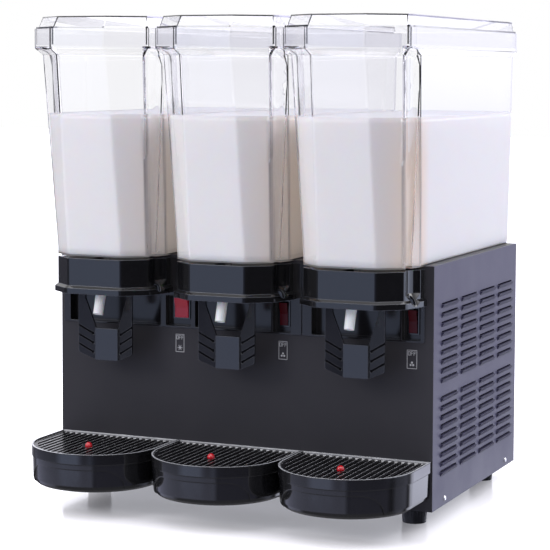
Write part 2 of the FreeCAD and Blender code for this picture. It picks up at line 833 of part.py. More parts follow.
# The return spring: a closely wound sleeve on the pin, beside the left arm.
def make_spring():
    start = "(-lever_half + lever_arm_width + soft_clearance)"
    outer = rod("spring_outer", "pivot_pin_radius + spring_gauge", "spring_length",
                x=start, y="-pivot_reach", z=pivot_z, about_y="90")
    inner = rod("spring_inner", "pivot_pin_radius + running_clearance", "spring_length + overcut*2",
                x=start + " - overcut", y="-pivot_reach", z=pivot_z, about_y="90")
    return cut("spring", outer, inner)


# The opening of a recess or window: its left, right, low and high edges, and its depth.
def recess_box(number):
    left = "second_recess_left" if number == 2 else "recess_half"
    right = "first_recess_right" if number == 1 else "recess_right"
    return ("%s - %s" % (module_x(number), left), "%s + %s" % (module_x(number), right),
            deck + " - recess_bottom_drop", deck + " - recess_top_drop", "recess_depth")


def window_box(number):
    low = deck + " - recess_bottom_drop"
    if number == 1:
        middle, half = "(-module_pitch/2)", "wide_window_width/2"
        return (middle + " - " + half, middle + " + " + half, low, low + " + wide_window_height",
                "wide_window_depth")
    middle, half = "(%s + narrow_window_shift)" % module_x(number), "narrow_window_width/2"
    return (middle + " - " + half, middle + " + " + half, low, low + " + narrow_window_height",
            "narrow_window_depth")


def switch_place(number):
    x = "(-module_pitch/2)" if number == 1 else "(%s + narrow_window_shift)" % module_x(number)
    return x, "(%s - switch_level)" % deck


def switch_size(number):
    kind = "wide" if number == 1 else "narrow"
    return kind + "_rocker_width", kind + "_rocker_height"


# The moulded surround of the taps, in two pieces that meet beside the second module. Each
# has a deep recess behind each lever and a shallower window behind each switch.
def make_fascia(name, left, right, recesses):
    body = new_body(name)
    face = "-fascia_proud"
    low, high = deck + " - fascia_bottom_drop", deck + " - fascia_top_drop"
    pad(body, draw(body, "XZ", [box_corners(left, right, low, high, "fascia_corner")]),
        "fascia_proud")
    boxes = []
    for number in recesses:
        boxes += [recess_box(number), window_box(number)]
    wall = "fascia_wall"
    for x1, x2, z1, z2, depth in boxes:
        outer = box_corners(x1 + " - " + wall, x2 + " + " + wall,
                            z1 + " - " + wall, z2 + " + " + wall)
        pad(body, draw(body, "XZ", [outer], "-fascia_proud/2"),
            "%s - fascia_proud/2 + fascia_wall" % depth, against=True)
    for x1, x2, z1, z2, depth in boxes:
        opening = box_corners(x1, x2, z1, z2, "recess_corner")
        pocket(body, draw(body, "XZ", [opening], face), depth)
    for number in recesses:
        x, z = switch_place(number)
        width, height = switch_size(number)
        grow = "(rocker_clearance + bezel_border/2 + running_clearance)"
        hole = box_corners("%s - %s/2 - %s" % (x, width, grow), "%s + %s/2 + %s" % (x, width, grow),
                           "%s - %s/2 - %s" % (z, height, grow), "%s + %s/2 + %s" % (z, height, grow))
        pocket(body, draw(body, "XZ", [hole], face), "recess_depth*2")
    return body


# A switch's bezel and the body behind it, hollow in front for its rocker. It is drawn
# about its rocker's axle, which lies a little behind the bezel's face.
def make_switch(number):
    body = new_body("switch_%d_body" % number)
    width, height = switch_size(number)

    def frame(grow, corner=None):
        return box_corners("-%s/2 - %s" % (width, grow), "%s/2 + %s" % (width, grow),
                           "-%s/2 - %s" % (height, grow), "%s/2 + %s" % (height, grow), corner)

    wall = "rocker_clearance + bezel_border/2"
    face = "-rocker_axle_depth"
    pad(body, draw(body, "XZ", [frame("bezel_border", "bezel_corner")], face + " + bezel_proud"),
        "bezel_proud")
    pad(body, draw(body, "XZ", [frame("(%s)" % wall)], face + " + bezel_proud/2"),
        "switch_depth + bezel_proud/2", against=True)
    pocket(body, draw(body, "XZ", [frame("rocker_clearance")], face),
           "rocker_axle_depth + rocker_depth + rocker_clearance*2")
    hole = rod("switch_%d_axle_hole" % number, "rocker_axle_radius + running_clearance",
               width + " + (%s)*4" % wall, x="-%s/2 - (%s)*2" % (width, wall), about_y="90")
    return cut("switch_%d_bored" % number, body, hole)


# A rocker: two faces that meet at a shallow angle in front of its axle.
def make_rocker(number):
    body = new_body("rocker_%d_pattern" % number)
    width, height = switch_size(number)
    half = "(%s/2)" % height
    front = "-rocker_axle_depth - rocker_front"
    profile = [(front + " - rocker_bulge", half), (front, "0"),
               (front + " - rocker_bulge", "-" + half), ("0", "-%s + rocker_front" % half),
               ("rocker_depth", "-%s/3" % half), ("rocker_depth", "%s/3" % half),
               ("0", "%s - rocker_front" % half)]
    pad(body, draw(body, "YZ", [profile], "-%s/2" % width), width)
    reach = "(%s/2 + rocker_clearance + bezel_border/3)" % width
    axle = rod("rocker_%d_axle" % number, "rocker_axle_radius", reach + "*2", x="-" + reach,
               about_y="90")
    return join("rocker_%d_whole" % number, [body, axle])


# The outline of a drip tray from above: straight sides and a half-round front.
def tray_corners(grow="0"):
    half = "(tray_half - %s)" % grow
    front_half = "(tray_half - tray_taper - %s)" % grow
    reach = "-(tray_reach - %s)" % grow
    turn = "(tray_half - tray_taper - tray_gap - %s)" % grow
    return [("-" + half, "-tray_gap"), ("-" + front_half, reach, turn), (front_half, reach, turn),
            (half, "-tray_gap")]


# The levels of a tray's side, from its foot up its round heel to the rim: outlines set in
# from the rim's outline, with their heights.
def tray_levels(grow, foot, top):
    levels = [(grow + " + tray_draft + tray_heel*(1 - sin(%d))" % turn,
               "tray_bottom + tray_heel*(1 - cos(%d))" % turn) for turn in (0, 30, 60, 90)]
    return [(levels[0][0], foot)] + levels[1:] + [(grow, top)]


# The drip tray: a tub with a round heel, a raised band round its rim, a panel let into its
# front under an arched line, a ledge for the grille and two hooks.
def make_tray():
    outer = new_body("tray_outer")
    band_low = tray_rim + " - tray_band"
    levels = tray_levels("tray_emboss", "tray_bottom", band_low)
    loft(outer, [draw(outer, "XY", [tray_corners("(%s)" % grow)], level) for grow, level in levels])
    pad(outer, draw(outer, "XY", [tray_corners()], band_low), "tray_band")
    arch = new_body("tray_arch")
    low, high = "tray_bottom - overcut", "tray_bottom + tray_panel_top"
    line = [("-tray_panel_half", low), ("tray_panel_half", low),
            ("tray_panel_half", high, "tray_panel_corner"),
            ("-tray_panel_half", high, "tray_panel_corner")]
    pad(arch, draw(arch, "XZ", [line], "-tray_reach/2"), "tray_reach")
    core = new_body("tray_core")
    inner = tray_levels("tray_emboss*2", "tray_bottom - overcut", tray_rim)
    loft(core, [draw(core, "XY", [tray_corners("(%s)" % grow)], level) for grow, level in inner])
    skin = cut("tray_skin", arch, core)
    space = new_body("tray_space")
    wide = inset(tray_corners(), "tray_wall")
    pad(space, draw(space, "XY", [wide], grille_low), "grille_drop*4 + grille_gauge")
    narrow = inset(tray_corners(), "(tray_wall + tray_ledge)")
    pad(space, draw(space, "XY", [narrow], "tray_bottom + tray_wall"), "tray_height - tray_wall")
    hooks = new_body("tray_hook")
    top = "(tray_bottom + hook_level)"
    near, far = "sheet_gauge + soft_clearance", "sheet_gauge + soft_clearance + hook_gauge"
    hook = [("-tray_gap - tray_wall/2", top + " - hook_neck"), (near, top + " - hook_neck"),
            (near, top + " - hook_height"), (far, top + " - hook_height"), (far, top),
            ("-tray_gap - tray_wall/2", top)]
    pad(hooks, draw(hooks, "YZ", [hook], "hook_spacing/2 - hook_width/2"), "hook_width")
    tub = cut("tray_tub", cut("tray_pressed", outer, skin), space)
    return join("tray", [tub, hooks, mirror("tray_hook_left", hooks)])


# The grille: a plate in the tray with slots from front to back, and a ring for the float.
def make_grille():
    plate = new_body("grille_plate")
    edge = inset(tray_corners(), "(tray_wall + soft_clearance)")
    pad(plate, draw(plate, "XY", [edge], grille_low), "grille_gauge")
    slots = new_body("grille_slots")
    first = "(-grille_slot_pitch*(grille_slots - 1)/2)"
    slot = box_corners(first + " - grille_slot_width/2", first + " + grille_slot_width/2",
                       "-tray_reach", "-tray_gap")
    strip = pad(slots, draw(slots, "XY", [slot], grille_low + " - overcut"),
                "grille_gauge + overcut*2")
    repeat(slots, [strip], "LinearPattern", axis_of(slots, "X_Axis"),
           "grille_slot_pitch*(grille_slots - 1)", "grille_slots")
    field = new_body("grille_field")
    inner = inset(tray_corners(), "(tray_wall + soft_clearance + grille_border)")
    pad(field, draw(field, "XY", [inner], grille_low + " - overcut"), "grille_gauge + overcut*2")
    ring = rod("float_ring", "float_ball_radius + grille_border", "grille_gauge + overcut*2",
               y="-float_reach", z=grille_low + " - overcut")
    cuts = cut("grille_cuts", overlap("grille_slot_field", slots, field), ring)
    hole = rod("float_hole", "float_ball_radius + soft_clearance*2", "grille_gauge*2",
               y="-float_reach", z=grille_low + " - overcut")
    return cut("grille", cut("grille_slotted", plate, cuts), hole)


# The full-tray float: a disc in the tray, a stem, and a red ball in the grille's ring.
def make_float():
    low = "tray_bottom + tray_wall + soft_clearance"
    disc = rod("float_disc", "float_disc_radius", "float_disc_height", y="-float_reach", z=low)
    middle = "(%s - grille_drop + float_rise)" % tray_rim
    stem = rod("float_stem", "float_stem_radius", "%s - (%s)" % (middle, low), y="-float_reach", z=low)
    ball = doc.addObject("Part::Sphere", "float_ball")
    ball.setExpression("Radius", bound("float_ball_radius"))
    ball.setExpression("Placement.Base.y", bound("-float_reach"))
    ball.setExpression("Placement.Base.z", bound(middle))
    return join("float", [disc, stem, ball])


# The cooled steel dome that stands up through the tank's floor, with a pin on its crown.
def make_dome():
    body = new_body("dome_shell")
    top = deck + " + dome_height"
    outer = [("0", deck), ("dome_radius", deck), ("dome_radius", top, "dome_crown"), ("0", top)]
    spin(body, draw(body, "XZ", [outer]))
    inside = "dome_radius - dome_wall"
    inner = [("0", deck + " - overcut"), (inside, deck + " - overcut"),
             (inside, top + " - dome_wall", "dome_crown - dome_wall"), ("0", top + " - dome_wall")]
    spin(body, draw(body, "XZ", [inner]), kind="Groove")
    pad(body, draw(body, "XY", [], top + " - dome_wall/2", [("0", "0", "dome_pin_radius")]),
        "dome_pin_height + dome_wall/2")
    return body


# A plain turned ring or disc, given by its radii and heights.
def make_ring(name, inner, outer, low, high):
    body = new_body(name)
    spin(body, draw(body, "XZ", [box_corners(inner, outer, low, high)]))
    return body


# The stirrer: a magnet disc and hub that turn on the dome's pin, and two curved blades.
def make_stirrer():
    body = new_body("stirrer_hub")
    low = "(%s + dome_height + soft_clearance)" % deck
    bore = "(dome_pin_radius + running_clearance)"
    plate, top = low + " + paddle_gauge*2", low + " + dome_pin_height - hub_setback"
    hub = bore + " + paddle_gauge"
    profile = [(bore, low), ("rotor_radius", low), ("rotor_radius", plate), (hub, plate),
               (hub, top), (bore, top)]
    spin(body, draw(body, "XZ", [profile]))
    start = bore + " + paddle_gauge/2"
    blade = [(start, "-paddle_gauge/2"), ("paddle_bend", "-paddle_gauge/2"),
             ("paddle_radius - paddle_gauge/2", "paddle_sweep"),
             ("paddle_radius - paddle_gauge", "paddle_sweep + paddle_gauge"),
             ("paddle_bend", "paddle_gauge/2"), (start, "paddle_gauge/2")]
    wing = pad(body, draw(body, "XY", [blade], low + " + paddle_gauge"),
               "paddle_width - paddle_gauge")
    repeat(body, [wing], "PolarPattern", axis_of(body, "Z_Axis"), "360", "2")
    return body


# The drive under the dome: a motor hung from the deck by a wide plate, and a magnet
# rotor on its shaft.
def make_motor():
    body = new_body("motor_turned")
    top = "(%s - sheet_gauge)" % deck
    low = "(%s - motor_height)" % top
    plate = "(%s - motor_plate)" % top
    profile = [("0", low), ("motor_radius", low), ("motor_radius", plate),
               ("dome_radius + motor_rim", plate), ("dome_radius + motor_rim", top), ("0", top)]
    spin(body, draw(body, "XZ", [profile]))
    pocket(body, draw(body, "XY", [], top, [("0", "0", "shaft_radius + running_clearance")]),
           "shaft_seat + soft_clearance")
    return body


def make_rotor():
    top = "(%s + dome_height - dome_crown - rotor_gap)" % deck
    body = new_body("rotor_turned")
    foot = "(%s - sheet_gauge - shaft_seat)" % deck
    profile = [("0", foot), ("shaft_radius", foot), ("shaft_radius", top + " - rotor_height"),
               ("rotor_radius", top + " - rotor_height"), ("rotor_radius", top), ("0", top)]
    spin(body, draw(body, "XZ", [profile]))
    return body


half_width = "(cabinet_width/2)"
inner_half = "(cabinet_width/2 - sheet_gauge)"
inner_back = "(cabinet_depth - sheet_gauge)"
floor_top = "(foot_height + sheet_gauge)"


# The front sheet, cut out for the fascia's recesses and for the trays' hooks.
def make_front_panel():
    body = new_body("front_sheet")
    pad(body, draw(body, "XZ", [box_corners("-" + half_width, half_width, "foot_height", deck)]),
        "sheet_gauge", against=True)
    boxes = [recess_box(number) for number in (1, 2, 3)]
    boxes += [window_box(number) for number in (1, 2, 3)]
    grow = "(fascia_wall + running_clearance)"
    for x1, x2, z1, z2, depth in boxes:
        hole = box_corners(x1 + " - " + grow, x2 + " + " + grow,
                           z1 + " - " + grow, z2 + " + " + grow)
        through(body, draw(body, "XZ", [hole]))
    top = "(tray_bottom + hook_level)"
    low, high = top + " - hook_neck - soft_clearance", top + " + tray_lift + soft_clearance*2"
    slots = []
    for number in (1, 2, 3):
        for side in "-+":
            middle = "(%s %s hook_spacing/2)" % (module_x(number), side)
            slots.append(box_corners(middle + " - hook_width/2 - soft_clearance*2",
                                     middle + " + hook_width/2 + soft_clearance*2", low, high))
    through(body, draw(body, "XZ", slots))
    return body


# A side sheet with its rows of louvres: each has a narrow slot over a hood that slopes out.
def make_side_panel():
    body = new_body("side_sheet")
    pad(body, draw(body, "YZ", [box_corners("sheet_gauge", "cabinet_depth", "foot_height", deck)],
                   inner_half), "sheet_gauge")
    holes = [(y, "foot_height + screw_level", "screw_radius/2 + running_clearance")
             for y in ("screw_front", "screw_rear")]
    through(body, draw(body, "YZ", [], "0", holes))
    low = "louvre_first_z"
    lip = "louvre_first_z + louvre_height - louvre_slot"
    end = "louvre_first_y + louvre_length"
    slot = through(body, draw(body, "YZ", [box_corners("louvre_first_y", end, lip,
                                                       low + " + louvre_height")], inner_half))
    hood = pad(body, draw(body, "XZ", [[(half_width, low), (half_width + " + louvre_bulge", lip),
                                        (half_width, lip)]], end), "louvre_length")
    rows = body.newObject("PartDesign::MultiTransform", "side_sheet_louvres")
    rows.Originals = [slot, hood]
    steps = []
    for axis, length, count in (
            ("Y_Axis", "louvre_pitch_y*(louvre_columns - 1)", "louvre_columns"),
            ("Z_Axis", "louvre_pitch_z*(louvre_rows - 1)", "louvre_rows"),
            ("Z_Axis", "louvre_pitch_z*louvre_group_rows", "2")):
        step = body.newObject("PartDesign::LinearPattern", "side_sheet_step")
        step.Direction = (axis_of(body, axis), [""])
        step.setExpression("Length", bound(length))
        step.setExpression("Occurrences", bound(count))
        steps.append(step)
    rows.Transformations = steps
    body.Tip = rows
    return body


def make_rear_panel():
    body = new_body("rear_sheet")
    pad(body, draw(body, "XZ", [box_corners("-" + inner_half, inner_half, "foot_height", deck)],
                   "cabinet_depth"), "sheet_gauge")
    low = "foot_height + gland_level*2"
    vents = []
    for side in "-+":
        middle = "(%svent_middle)" % side
        vents.append(box_corners(middle + " - vent_width/2", middle + " + vent_width/2", low,
                                 low + " + vent_height"))
    slot = through(body, draw(body, "XZ", vents, "cabinet_depth"))
    repeat(body, [slot], "LinearPattern", axis_of(body, "Z_Axis"), "vent_pitch*(vent_rows - 1)",
           "vent_rows")
    cable_hole = [("-gland_side", "foot_height + gland_level",
                   "gland_neck_radius + running_clearance")]
    through(body, draw(body, "XZ", [], "cabinet_depth", cable_hole))
    return body


# The deck that carries the tanks: a sheet with edges folded down, open under each dome.
def make_deck():
    body = new_body("deck_sheet")
    outline = box_corners("-" + inner_half, inner_half, "sheet_gauge", inner_back)
    pad(body, draw(body, "XY", [outline], deck + " - flange_width"), "flange_width")
    pocket(body, draw(body, "XY", [inset(outline, "sheet_gauge")], deck + " - sheet_gauge"),
           "flange_width")
    domes = [(module_x(number), "dome_back", "dome_radius - dome_wall") for number in (1, 2, 3)]
    through(body, draw(body, "XY", [], deck, domes))
    return body


# The base pan: edges folded up, with holes for the feet's studs and the side screws.
def make_base():
    body = new_body("base_sheet")
    outline = box_corners("-" + inner_half, inner_half, "sheet_gauge", inner_back)
    pad(body, draw(body, "XY", [outline], "foot_height"), "flange_width + screw_level/2")
    pocket(body, draw(body, "XY", [inset(outline, "sheet_gauge")],
                      "foot_height + flange_width + screw_level"),
           "flange_width + screw_level - sheet_gauge")
    studs = [(x, y, "stud_radius + running_clearance") for x, y in foot_places]
    through(body, draw(body, "XY", [], floor_top, studs))
    holes = [(y, "foot_height + screw_level", "screw_radius/2 + running_clearance")
             for y in ("screw_front", "screw_rear")]
    through(body, draw(body, "YZ", [], "0", holes))
    return body


foot_places = [("%s(cabinet_width/2 - foot_inset_x)" % side, y) for side in ("-", "")
               for y in ("foot_inset_y", "(cabinet_depth - foot_inset_y)")]


# A rubber foot: slightly tapered, fluted, with a stud that goes up through the base pan.
def make_foot():
    body = new_body("foot_turned")
    stud_top = "foot_height + stud_rise"
    profile = [("0", "0"), ("foot_radius - foot_taper", "0"), ("foot_radius", "foot_height"),
               ("stud_radius", "foot_height"), ("stud_radius", stud_top), ("0", stud_top)]
    spin(body, draw(body, "XZ", [profile]))
    flute = pocket(body, draw(body, "XY", [], "foot_height - foot_band",
                              [("foot_radius", "0", "foot_groove")]), "foot_height - foot_band*2")
    repeat(body, [flute], "PolarPattern", axis_of(body, "Z_Axis"), "360", "foot_ribs")
    return body


def make_screw():
    body = new_body("screw_turned")
    profile = [("0", "-screw_shank"), ("screw_radius/2", "-screw_shank"), ("screw_radius/2", "0"),
               ("screw_radius", "0"), ("screw_radius", "screw_head/2"),
               ("screw_crown", "screw_head"), ("0", "screw_head")]
    spin(body, draw(body, "XZ", [profile]))
    return body


# The hermetic compressor: a domed pot on a foot plate with four rubber mounts.
def make_compressor():
    body = new_body("compressor_pot")
    plate = "(%s + compressor_foot)" % floor_top
    low, high = plate + " + sheet_gauge", floor_top + " + compressor_height"
    spin(body, draw(body, "XZ", [[("0", low), ("compressor_radius", low, "compressor_foot*2"),
                                  ("compressor_radius", high, "compressor_radius/2"), ("0", high)]]))
    reach, half = "(compressor_radius + compressor_foot)", "compressor_plate_half"
    pad(body, draw(body, "XY", [box_corners("-" + reach, reach, "-" + half, half, "compressor_foot/2")],
                   plate), "sheet_gauge*2")
    mounts = [(x, y, "compressor_mount_radius")
              for x in ("-%s + compressor_foot" % reach, "%s - compressor_foot" % reach)
              for y in ("-%s + compressor_foot" % half, "%s - compressor_foot" % half)]
    pad(body, draw(body, "XY", [], floor_top, mounts), "compressor_foot + sheet_gauge")
    return body


# The finned condenser, with rows of flat tubes running from front to back.
def make_condenser():
    body = new_body("condenser_block")
    half = "(condenser_thickness/2)"
    fin = box_corners("-" + half, half, "0", "condenser_height")
    fin = pad(body, draw(body, "XZ", [fin], "sheet_gauge"), "sheet_gauge")
    repeat(body, [fin], "LinearPattern", axis_of(body, "Y_Axis"), "condenser_width - sheet_gauge",
           "condenser_fins")
    tubes = []
    flat = "condenser_tube/2"
    for level in range(1, int(size("condenser_rows")) + 1):
        middle = "(condenser_height*%d/(condenser_rows + 1))" % level
        for side in "-+":
            across = "%scondenser_thickness/4" % side
            tubes.append(box_corners(across + " - condenser_tube", across + " + condenser_tube",
                                     middle + " - " + flat, middle + " + " + flat))
    pad(body, draw(body, "XZ", tubes, "condenser_width"), "condenser_width")
    return body


# The condenser fan: a hub on the motor's shaft with twisted blades.
def make_fan():
    body = new_body("fan_wheel")
    bore, hub, thick = "fan_shaft_radius + running_clearance", "fan_hub_radius", "fan_thickness"
    spin(body, draw(body, "XZ", [box_corners("0", thick, bore, hub)]), axis="H_Axis")
    sections = []
    for level, reach in (("fan_hub_radius - fan_margin", "fan_hub_radius/2"),
                         ("fan_radius", "fan_tip_half")):
        corners = [("fan_margin", "-" + reach), ("fan_margin + fan_blade_gauge", "-" + reach),
                   (thick + " - fan_margin", reach),
                   (thick + " - fan_margin - fan_blade_gauge", reach)]
        sections.append(draw(body, "XY", [corners], level))
    blade = loft(body, sections)
    repeat(body, [blade], "PolarPattern", axis_of(body, "X_Axis"), "360", "fan_blades")
    return body


def make_fan_motor():
    body = new_body("fan_motor_turned")
    flange, rim = "fan_motor_length - bracket_gauge*2", "fan_motor_radius + fan_flange"
    face = "fan_motor_length - bracket_gauge"
    tip = "fan_motor_length + fan_stand_off + fan_thickness + fan_shaft_end"
    profile = [("0", "0"), ("fan_motor_radius", "0"), ("fan_motor_radius", flange),
               (rim, flange), (rim, face), ("fan_motor_radius", face),
               ("fan_motor_radius", "fan_motor_length"), ("fan_shaft_radius", "fan_motor_length"),
               ("fan_shaft_radius", tip), ("0", tip)]
    spin(body, draw(body, "XZ", [profile]))
    return body


# The upright that carries the fan's motor, folded at its foot.
def make_fan_bracket():
    body = new_body("bracket_sheet")
    middle = "condenser_height/2"
    top = middle + " + bracket_rise"
    upright = [("-bracket_half", "0"), ("bracket_half", "0"),
               ("bracket_top_half", top, "bracket_corner"),
               ("-bracket_top_half", top, "bracket_corner")]
    pad(body, draw(body, "YZ", [upright]), "bracket_gauge")
    tread = box_corners("-bracket_foot", "0", "-bracket_half", "bracket_half")
    pad(body, draw(body, "XY", [tread]), "bracket_gauge")
    through(body, draw(body, "YZ", [], "0", [("0", middle, "fan_motor_radius + running_clearance")]))
    return body


# The gland that grips the mains cable, screwed into the rear panel.
def make_gland():
    body = new_body("gland_turned")
    profile = [("cable_radius", "-gland_radius"), ("gland_neck_radius", "-gland_radius"),
               ("gland_neck_radius", "0"), ("gland_radius", "0"), ("gland_radius", "gland_radius/3"),
               ("gland_nose_radius", "gland_nose"), ("cable_radius", "gland_nose")]
    spin(body, draw(body, "XZ", [profile]))
    return body


modules = (1, 2, 3)
patterns = {
    "tank": make_tank(), "lid": make_lid(), "tap_tube": make_tap_tube(),
    "tap_shroud": make_shroud(), "lever": make_lever(), "drip_tray": make_tray(),
    "tray_grille": make_grille(), "tray_float": make_float()}
stirrer, rotor = make_stirrer(), make_rotor()
for number in modules:
    for label, pattern in patterns.items():
        place("%s_%d" % (label, number), pattern, module_x(number))
    place("stirrer_%d" % number, stirrer, module_x(number), "dome_back")
    place("drive_rotor_%d" % number, rotor, module_x(number), "dome_back")

dome_inside = "(dome_radius - dome_wall)"
gasket = make_ring("gasket_ring", "dome_radius + soft_clearance", "dome_radius + seal_width",
                   deck, deck + " + seal_height")
sleeve = make_ring("sleeve_ring", "rotor_radius + sleeve_clearance",
                   dome_inside + " - running_clearance", deck, deck + " + dome_height - sleeve_drop")
for label, pattern, back in (
        ("cooling_domes", make_dome(), "dome_back"), ("evaporator_sleeves", sleeve, "dome_back"),
        ("tank_gaskets", gasket, "dome_back"), ("stirrer_motors", make_motor(), "dome_back"),
        ("lever_pins", make_pin(), "0"), ("lever_springs", make_spring(), "0")):
    group(label, [place("%s_%d" % (label, number), pattern, module_x(number), back)
                  for number in modules])

switches = []
switch_patterns = {"wide": (make_switch(1), make_rocker(1)),
                   "narrow": (make_switch(2), make_rocker(2))}
for number in modules:
    case, rocker = switch_patterns["wide" if number == 1 else "narrow"]
    depth = "wide_window_depth" if number == 1 else "narrow_window_depth"
    x, z = switch_place(number)
    y = "%s - fascia_proud - bezel_proud + rocker_axle_depth" % depth
    switches.append(place("switch_body_%d" % number, case, x, y, z))
    place("rocker_%d" % number, rocker, x, y, z, turn="rocker_tilt", about=(1, 0, 0))
group("switch_bodies", switches)

seam = "module_pitch/2"
place("tap_fascia_left", make_fascia("fascia_left", "-%s + fascia_left_margin" % half_width,
                                     seam + " - fascia_gap/2", (1, 2)))
place("tap_fascia_right", make_fascia("fascia_right", seam + " + fascia_gap/2",
                                      half_width + " - fascia_right_margin", (3,)))

side = make_side_panel()
place("side_panel_right", side)
place("side_panel_left", mirror("side_sheet_left", side))
place("front_panel", make_front_panel())
place("rear_panel", make_rear_panel())
place("top_deck", make_deck())
place("base_pan", make_base())
foot, screw = make_foot(), make_screw()
group("feet", [place("foot_%d" % (i + 1), foot, x, y) for i, (x, y) in enumerate(foot_places)])
group("side_screws", [place("side_screw_%d" % (i + 1), screw, sign + half_width, y,
                            "foot_height + screw_level", turn=sign + "90", about=(0, 1, 0))
                      for i, (sign, y) in enumerate([("-", "screw_front"), ("-", "screw_rear"),
                                                     ("", "screw_front"), ("", "screw_rear")])])

fan_middle = "(condenser_front + condenser_width/2)"
fan_level = "(%s + condenser_height/2)" % floor_top
place("compressor", make_compressor(), "-compressor_side", "compressor_back")
place("condenser", make_condenser(), "condenser_side", "condenser_front", floor_top)
place("fan_motor", make_fan_motor(), "fan_station", fan_middle, fan_level, turn="90",
      about=(0, 1, 0))
place("fan_bracket", make_fan_bracket(), "fan_station + fan_motor_length - bracket_gauge",
      fan_middle, floor_top)
place("fan_blade", make_fan(), "fan_station + fan_motor_length + fan_stand_off", fan_middle, fan_level)
place("mains_gland", make_gland(), "-gland_side", "cabinet_depth", "foot_height + gland_level",
      turn="-90", about=(1, 0, 0))


# Every object must have built, and every piece must be a whole, valid solid.
def check_pieces():
    doc.recompute()
    for item in doc.Objects:
        if "Invalid" in item.State or "Error" in item.State:
            raise RuntimeError("%s did not build: %s" % (item.Name, item.State))
    for item in made:
        if item.Shape.isNull() or not item.Shape.isValid() or not item.Shape.Solids:
            raise RuntimeError("%s is not a valid solid" % item.Label)


check_pieces()
os.makedirs("parts", exist_ok=True)
for item in made:
    item.Shape.exportStep("parts/%s.step" % item.Label)
print("%d pieces" % len(made))
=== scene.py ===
import math

import bpy
import numpy as np
from mathutils import Matrix, Vector


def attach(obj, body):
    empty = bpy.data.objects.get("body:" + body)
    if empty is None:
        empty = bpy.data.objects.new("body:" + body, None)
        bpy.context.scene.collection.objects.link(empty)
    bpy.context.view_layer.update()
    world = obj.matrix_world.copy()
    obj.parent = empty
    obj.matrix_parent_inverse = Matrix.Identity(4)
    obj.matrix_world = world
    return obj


# A counter-top machine that cools and stirs three drinks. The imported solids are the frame;
# this file gives them their finishes and adds the drinks, the printed marks and the light.
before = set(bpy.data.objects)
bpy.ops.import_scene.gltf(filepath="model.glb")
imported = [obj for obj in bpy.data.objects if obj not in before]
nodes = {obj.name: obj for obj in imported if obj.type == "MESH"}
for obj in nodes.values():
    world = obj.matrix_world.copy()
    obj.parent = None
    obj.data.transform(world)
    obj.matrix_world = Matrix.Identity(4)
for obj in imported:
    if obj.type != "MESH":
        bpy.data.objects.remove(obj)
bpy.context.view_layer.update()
print("frame loaded:", len(nodes), "nodes")

frontSet = -0.1205                  # the cabinet's front face in the frame
pitch = 0.1794                      # from one tank's middle to the next
modules = (-pitch, 0.0, pitch)


# An empty material with its shader, to be wired by the caller.
def newMaterial(name):
    material = bpy.data.materials.new(name)
    material.use_nodes = True
    tree = material.node_tree
    return material, tree, tree.nodes["Principled BSDF"]


# A shader node with plain values on its inputs, named with _ for a space.
def addNode(tree, kind, **inputs):
    node = tree.nodes.new(kind)
    for name, value in inputs.items():
        node.inputs[name.replace("_", " ")].default_value = value
    return node


# One step of arithmetic between sockets and plain numbers.
def reckon(tree, operation, *values):
    node = tree.nodes.new("ShaderNodeMath")
    node.operation = operation
    for socket, value in zip(node.inputs, values):
        if isinstance(value, (int, float)):
            socket.default_value = value
        else:
            tree.links.new(value, socket)
    return node.outputs["Value"]


# The X, Y and Z of a place or a way that a source node gives.
def partsOf(tree, kind, output):
    source = tree.nodes.new(kind)
    parts = tree.nodes.new("ShaderNodeSeparateXYZ")
    tree.links.new(source.outputs[output], parts.inputs["Vector"])
    return parts.outputs


# How squarely a way looks along another, which is a socket or plain numbers: 1 straight on,
# 0 sideways.
def facingShare(tree, way, toward):
    facing = tree.nodes.new("ShaderNodeVectorMath")
    facing.operation = "DOT_PRODUCT"
    tree.links.new(way, facing.inputs[0])
    if isinstance(toward, tuple):
        facing.inputs[1].default_value = toward
    else:
        tree.links.new(toward, facing.inputs[1])
    return facing.outputs["Value"]


# The way a face looks.
def flatWay(tree):
    return tree.nodes.new("ShaderNodeNewGeometry").outputs["True Normal"]


# The way it would look if its edges were rounded by a radius.
def roundedWay(tree, radius):
    rounded = addNode(tree, "ShaderNodeBevel", Radius=radius)
    rounded.samples = 8
    return rounded.outputs["Normal"]


# Noise on the piece's own object coordinates, as a factor output.
def grain(tree, scale, detail=3.0, stretch=(1, 1, 1)):
    where = tree.nodes.new("ShaderNodeTexCoord")
    spread = addNode(tree, "ShaderNodeMapping", Scale=stretch)
    noise = addNode(tree, "ShaderNodeTexNoise", Scale=scale, Detail=detail)
    tree.links.new(where.outputs["Object"], spread.inputs["Vector"])
    tree.links.new(spread.outputs["Vector"], noise.inputs["Vector"])
    return noise.outputs["Fac"]


# Colour between two values as the factor goes from start to end.
def spreadColour(tree, factor, low, high, start=0.3, end=0.7):
    ramp = tree.nodes.new("ShaderNodeValToRGB")
    ramp.color_ramp.elements[0].position, ramp.color_ramp.elements[1].position = start, end
    ramp.color_ramp.elements[0].color = (*low, 1)
    ramp.color_ramp.elements[1].color = (*high, 1)
    tree.links.new(factor, ramp.inputs["Fac"])
    return ramp.outputs["Color"]


# Plain value from low to high as the factor goes from start to end.
def spreadValue(tree, factor, low, high, start=0.3, end=0.7, smooth=False):
    span = addNode(tree, "ShaderNodeMapRange", From_Min=start, From_Max=end, To_Min=low,
                   To_Max=high)
    span.interpolation_type = "SMOOTHSTEP" if smooth else "LINEAR"
    tree.links.new(factor, span.inputs["Value"])
    return span.outputs["Result"]


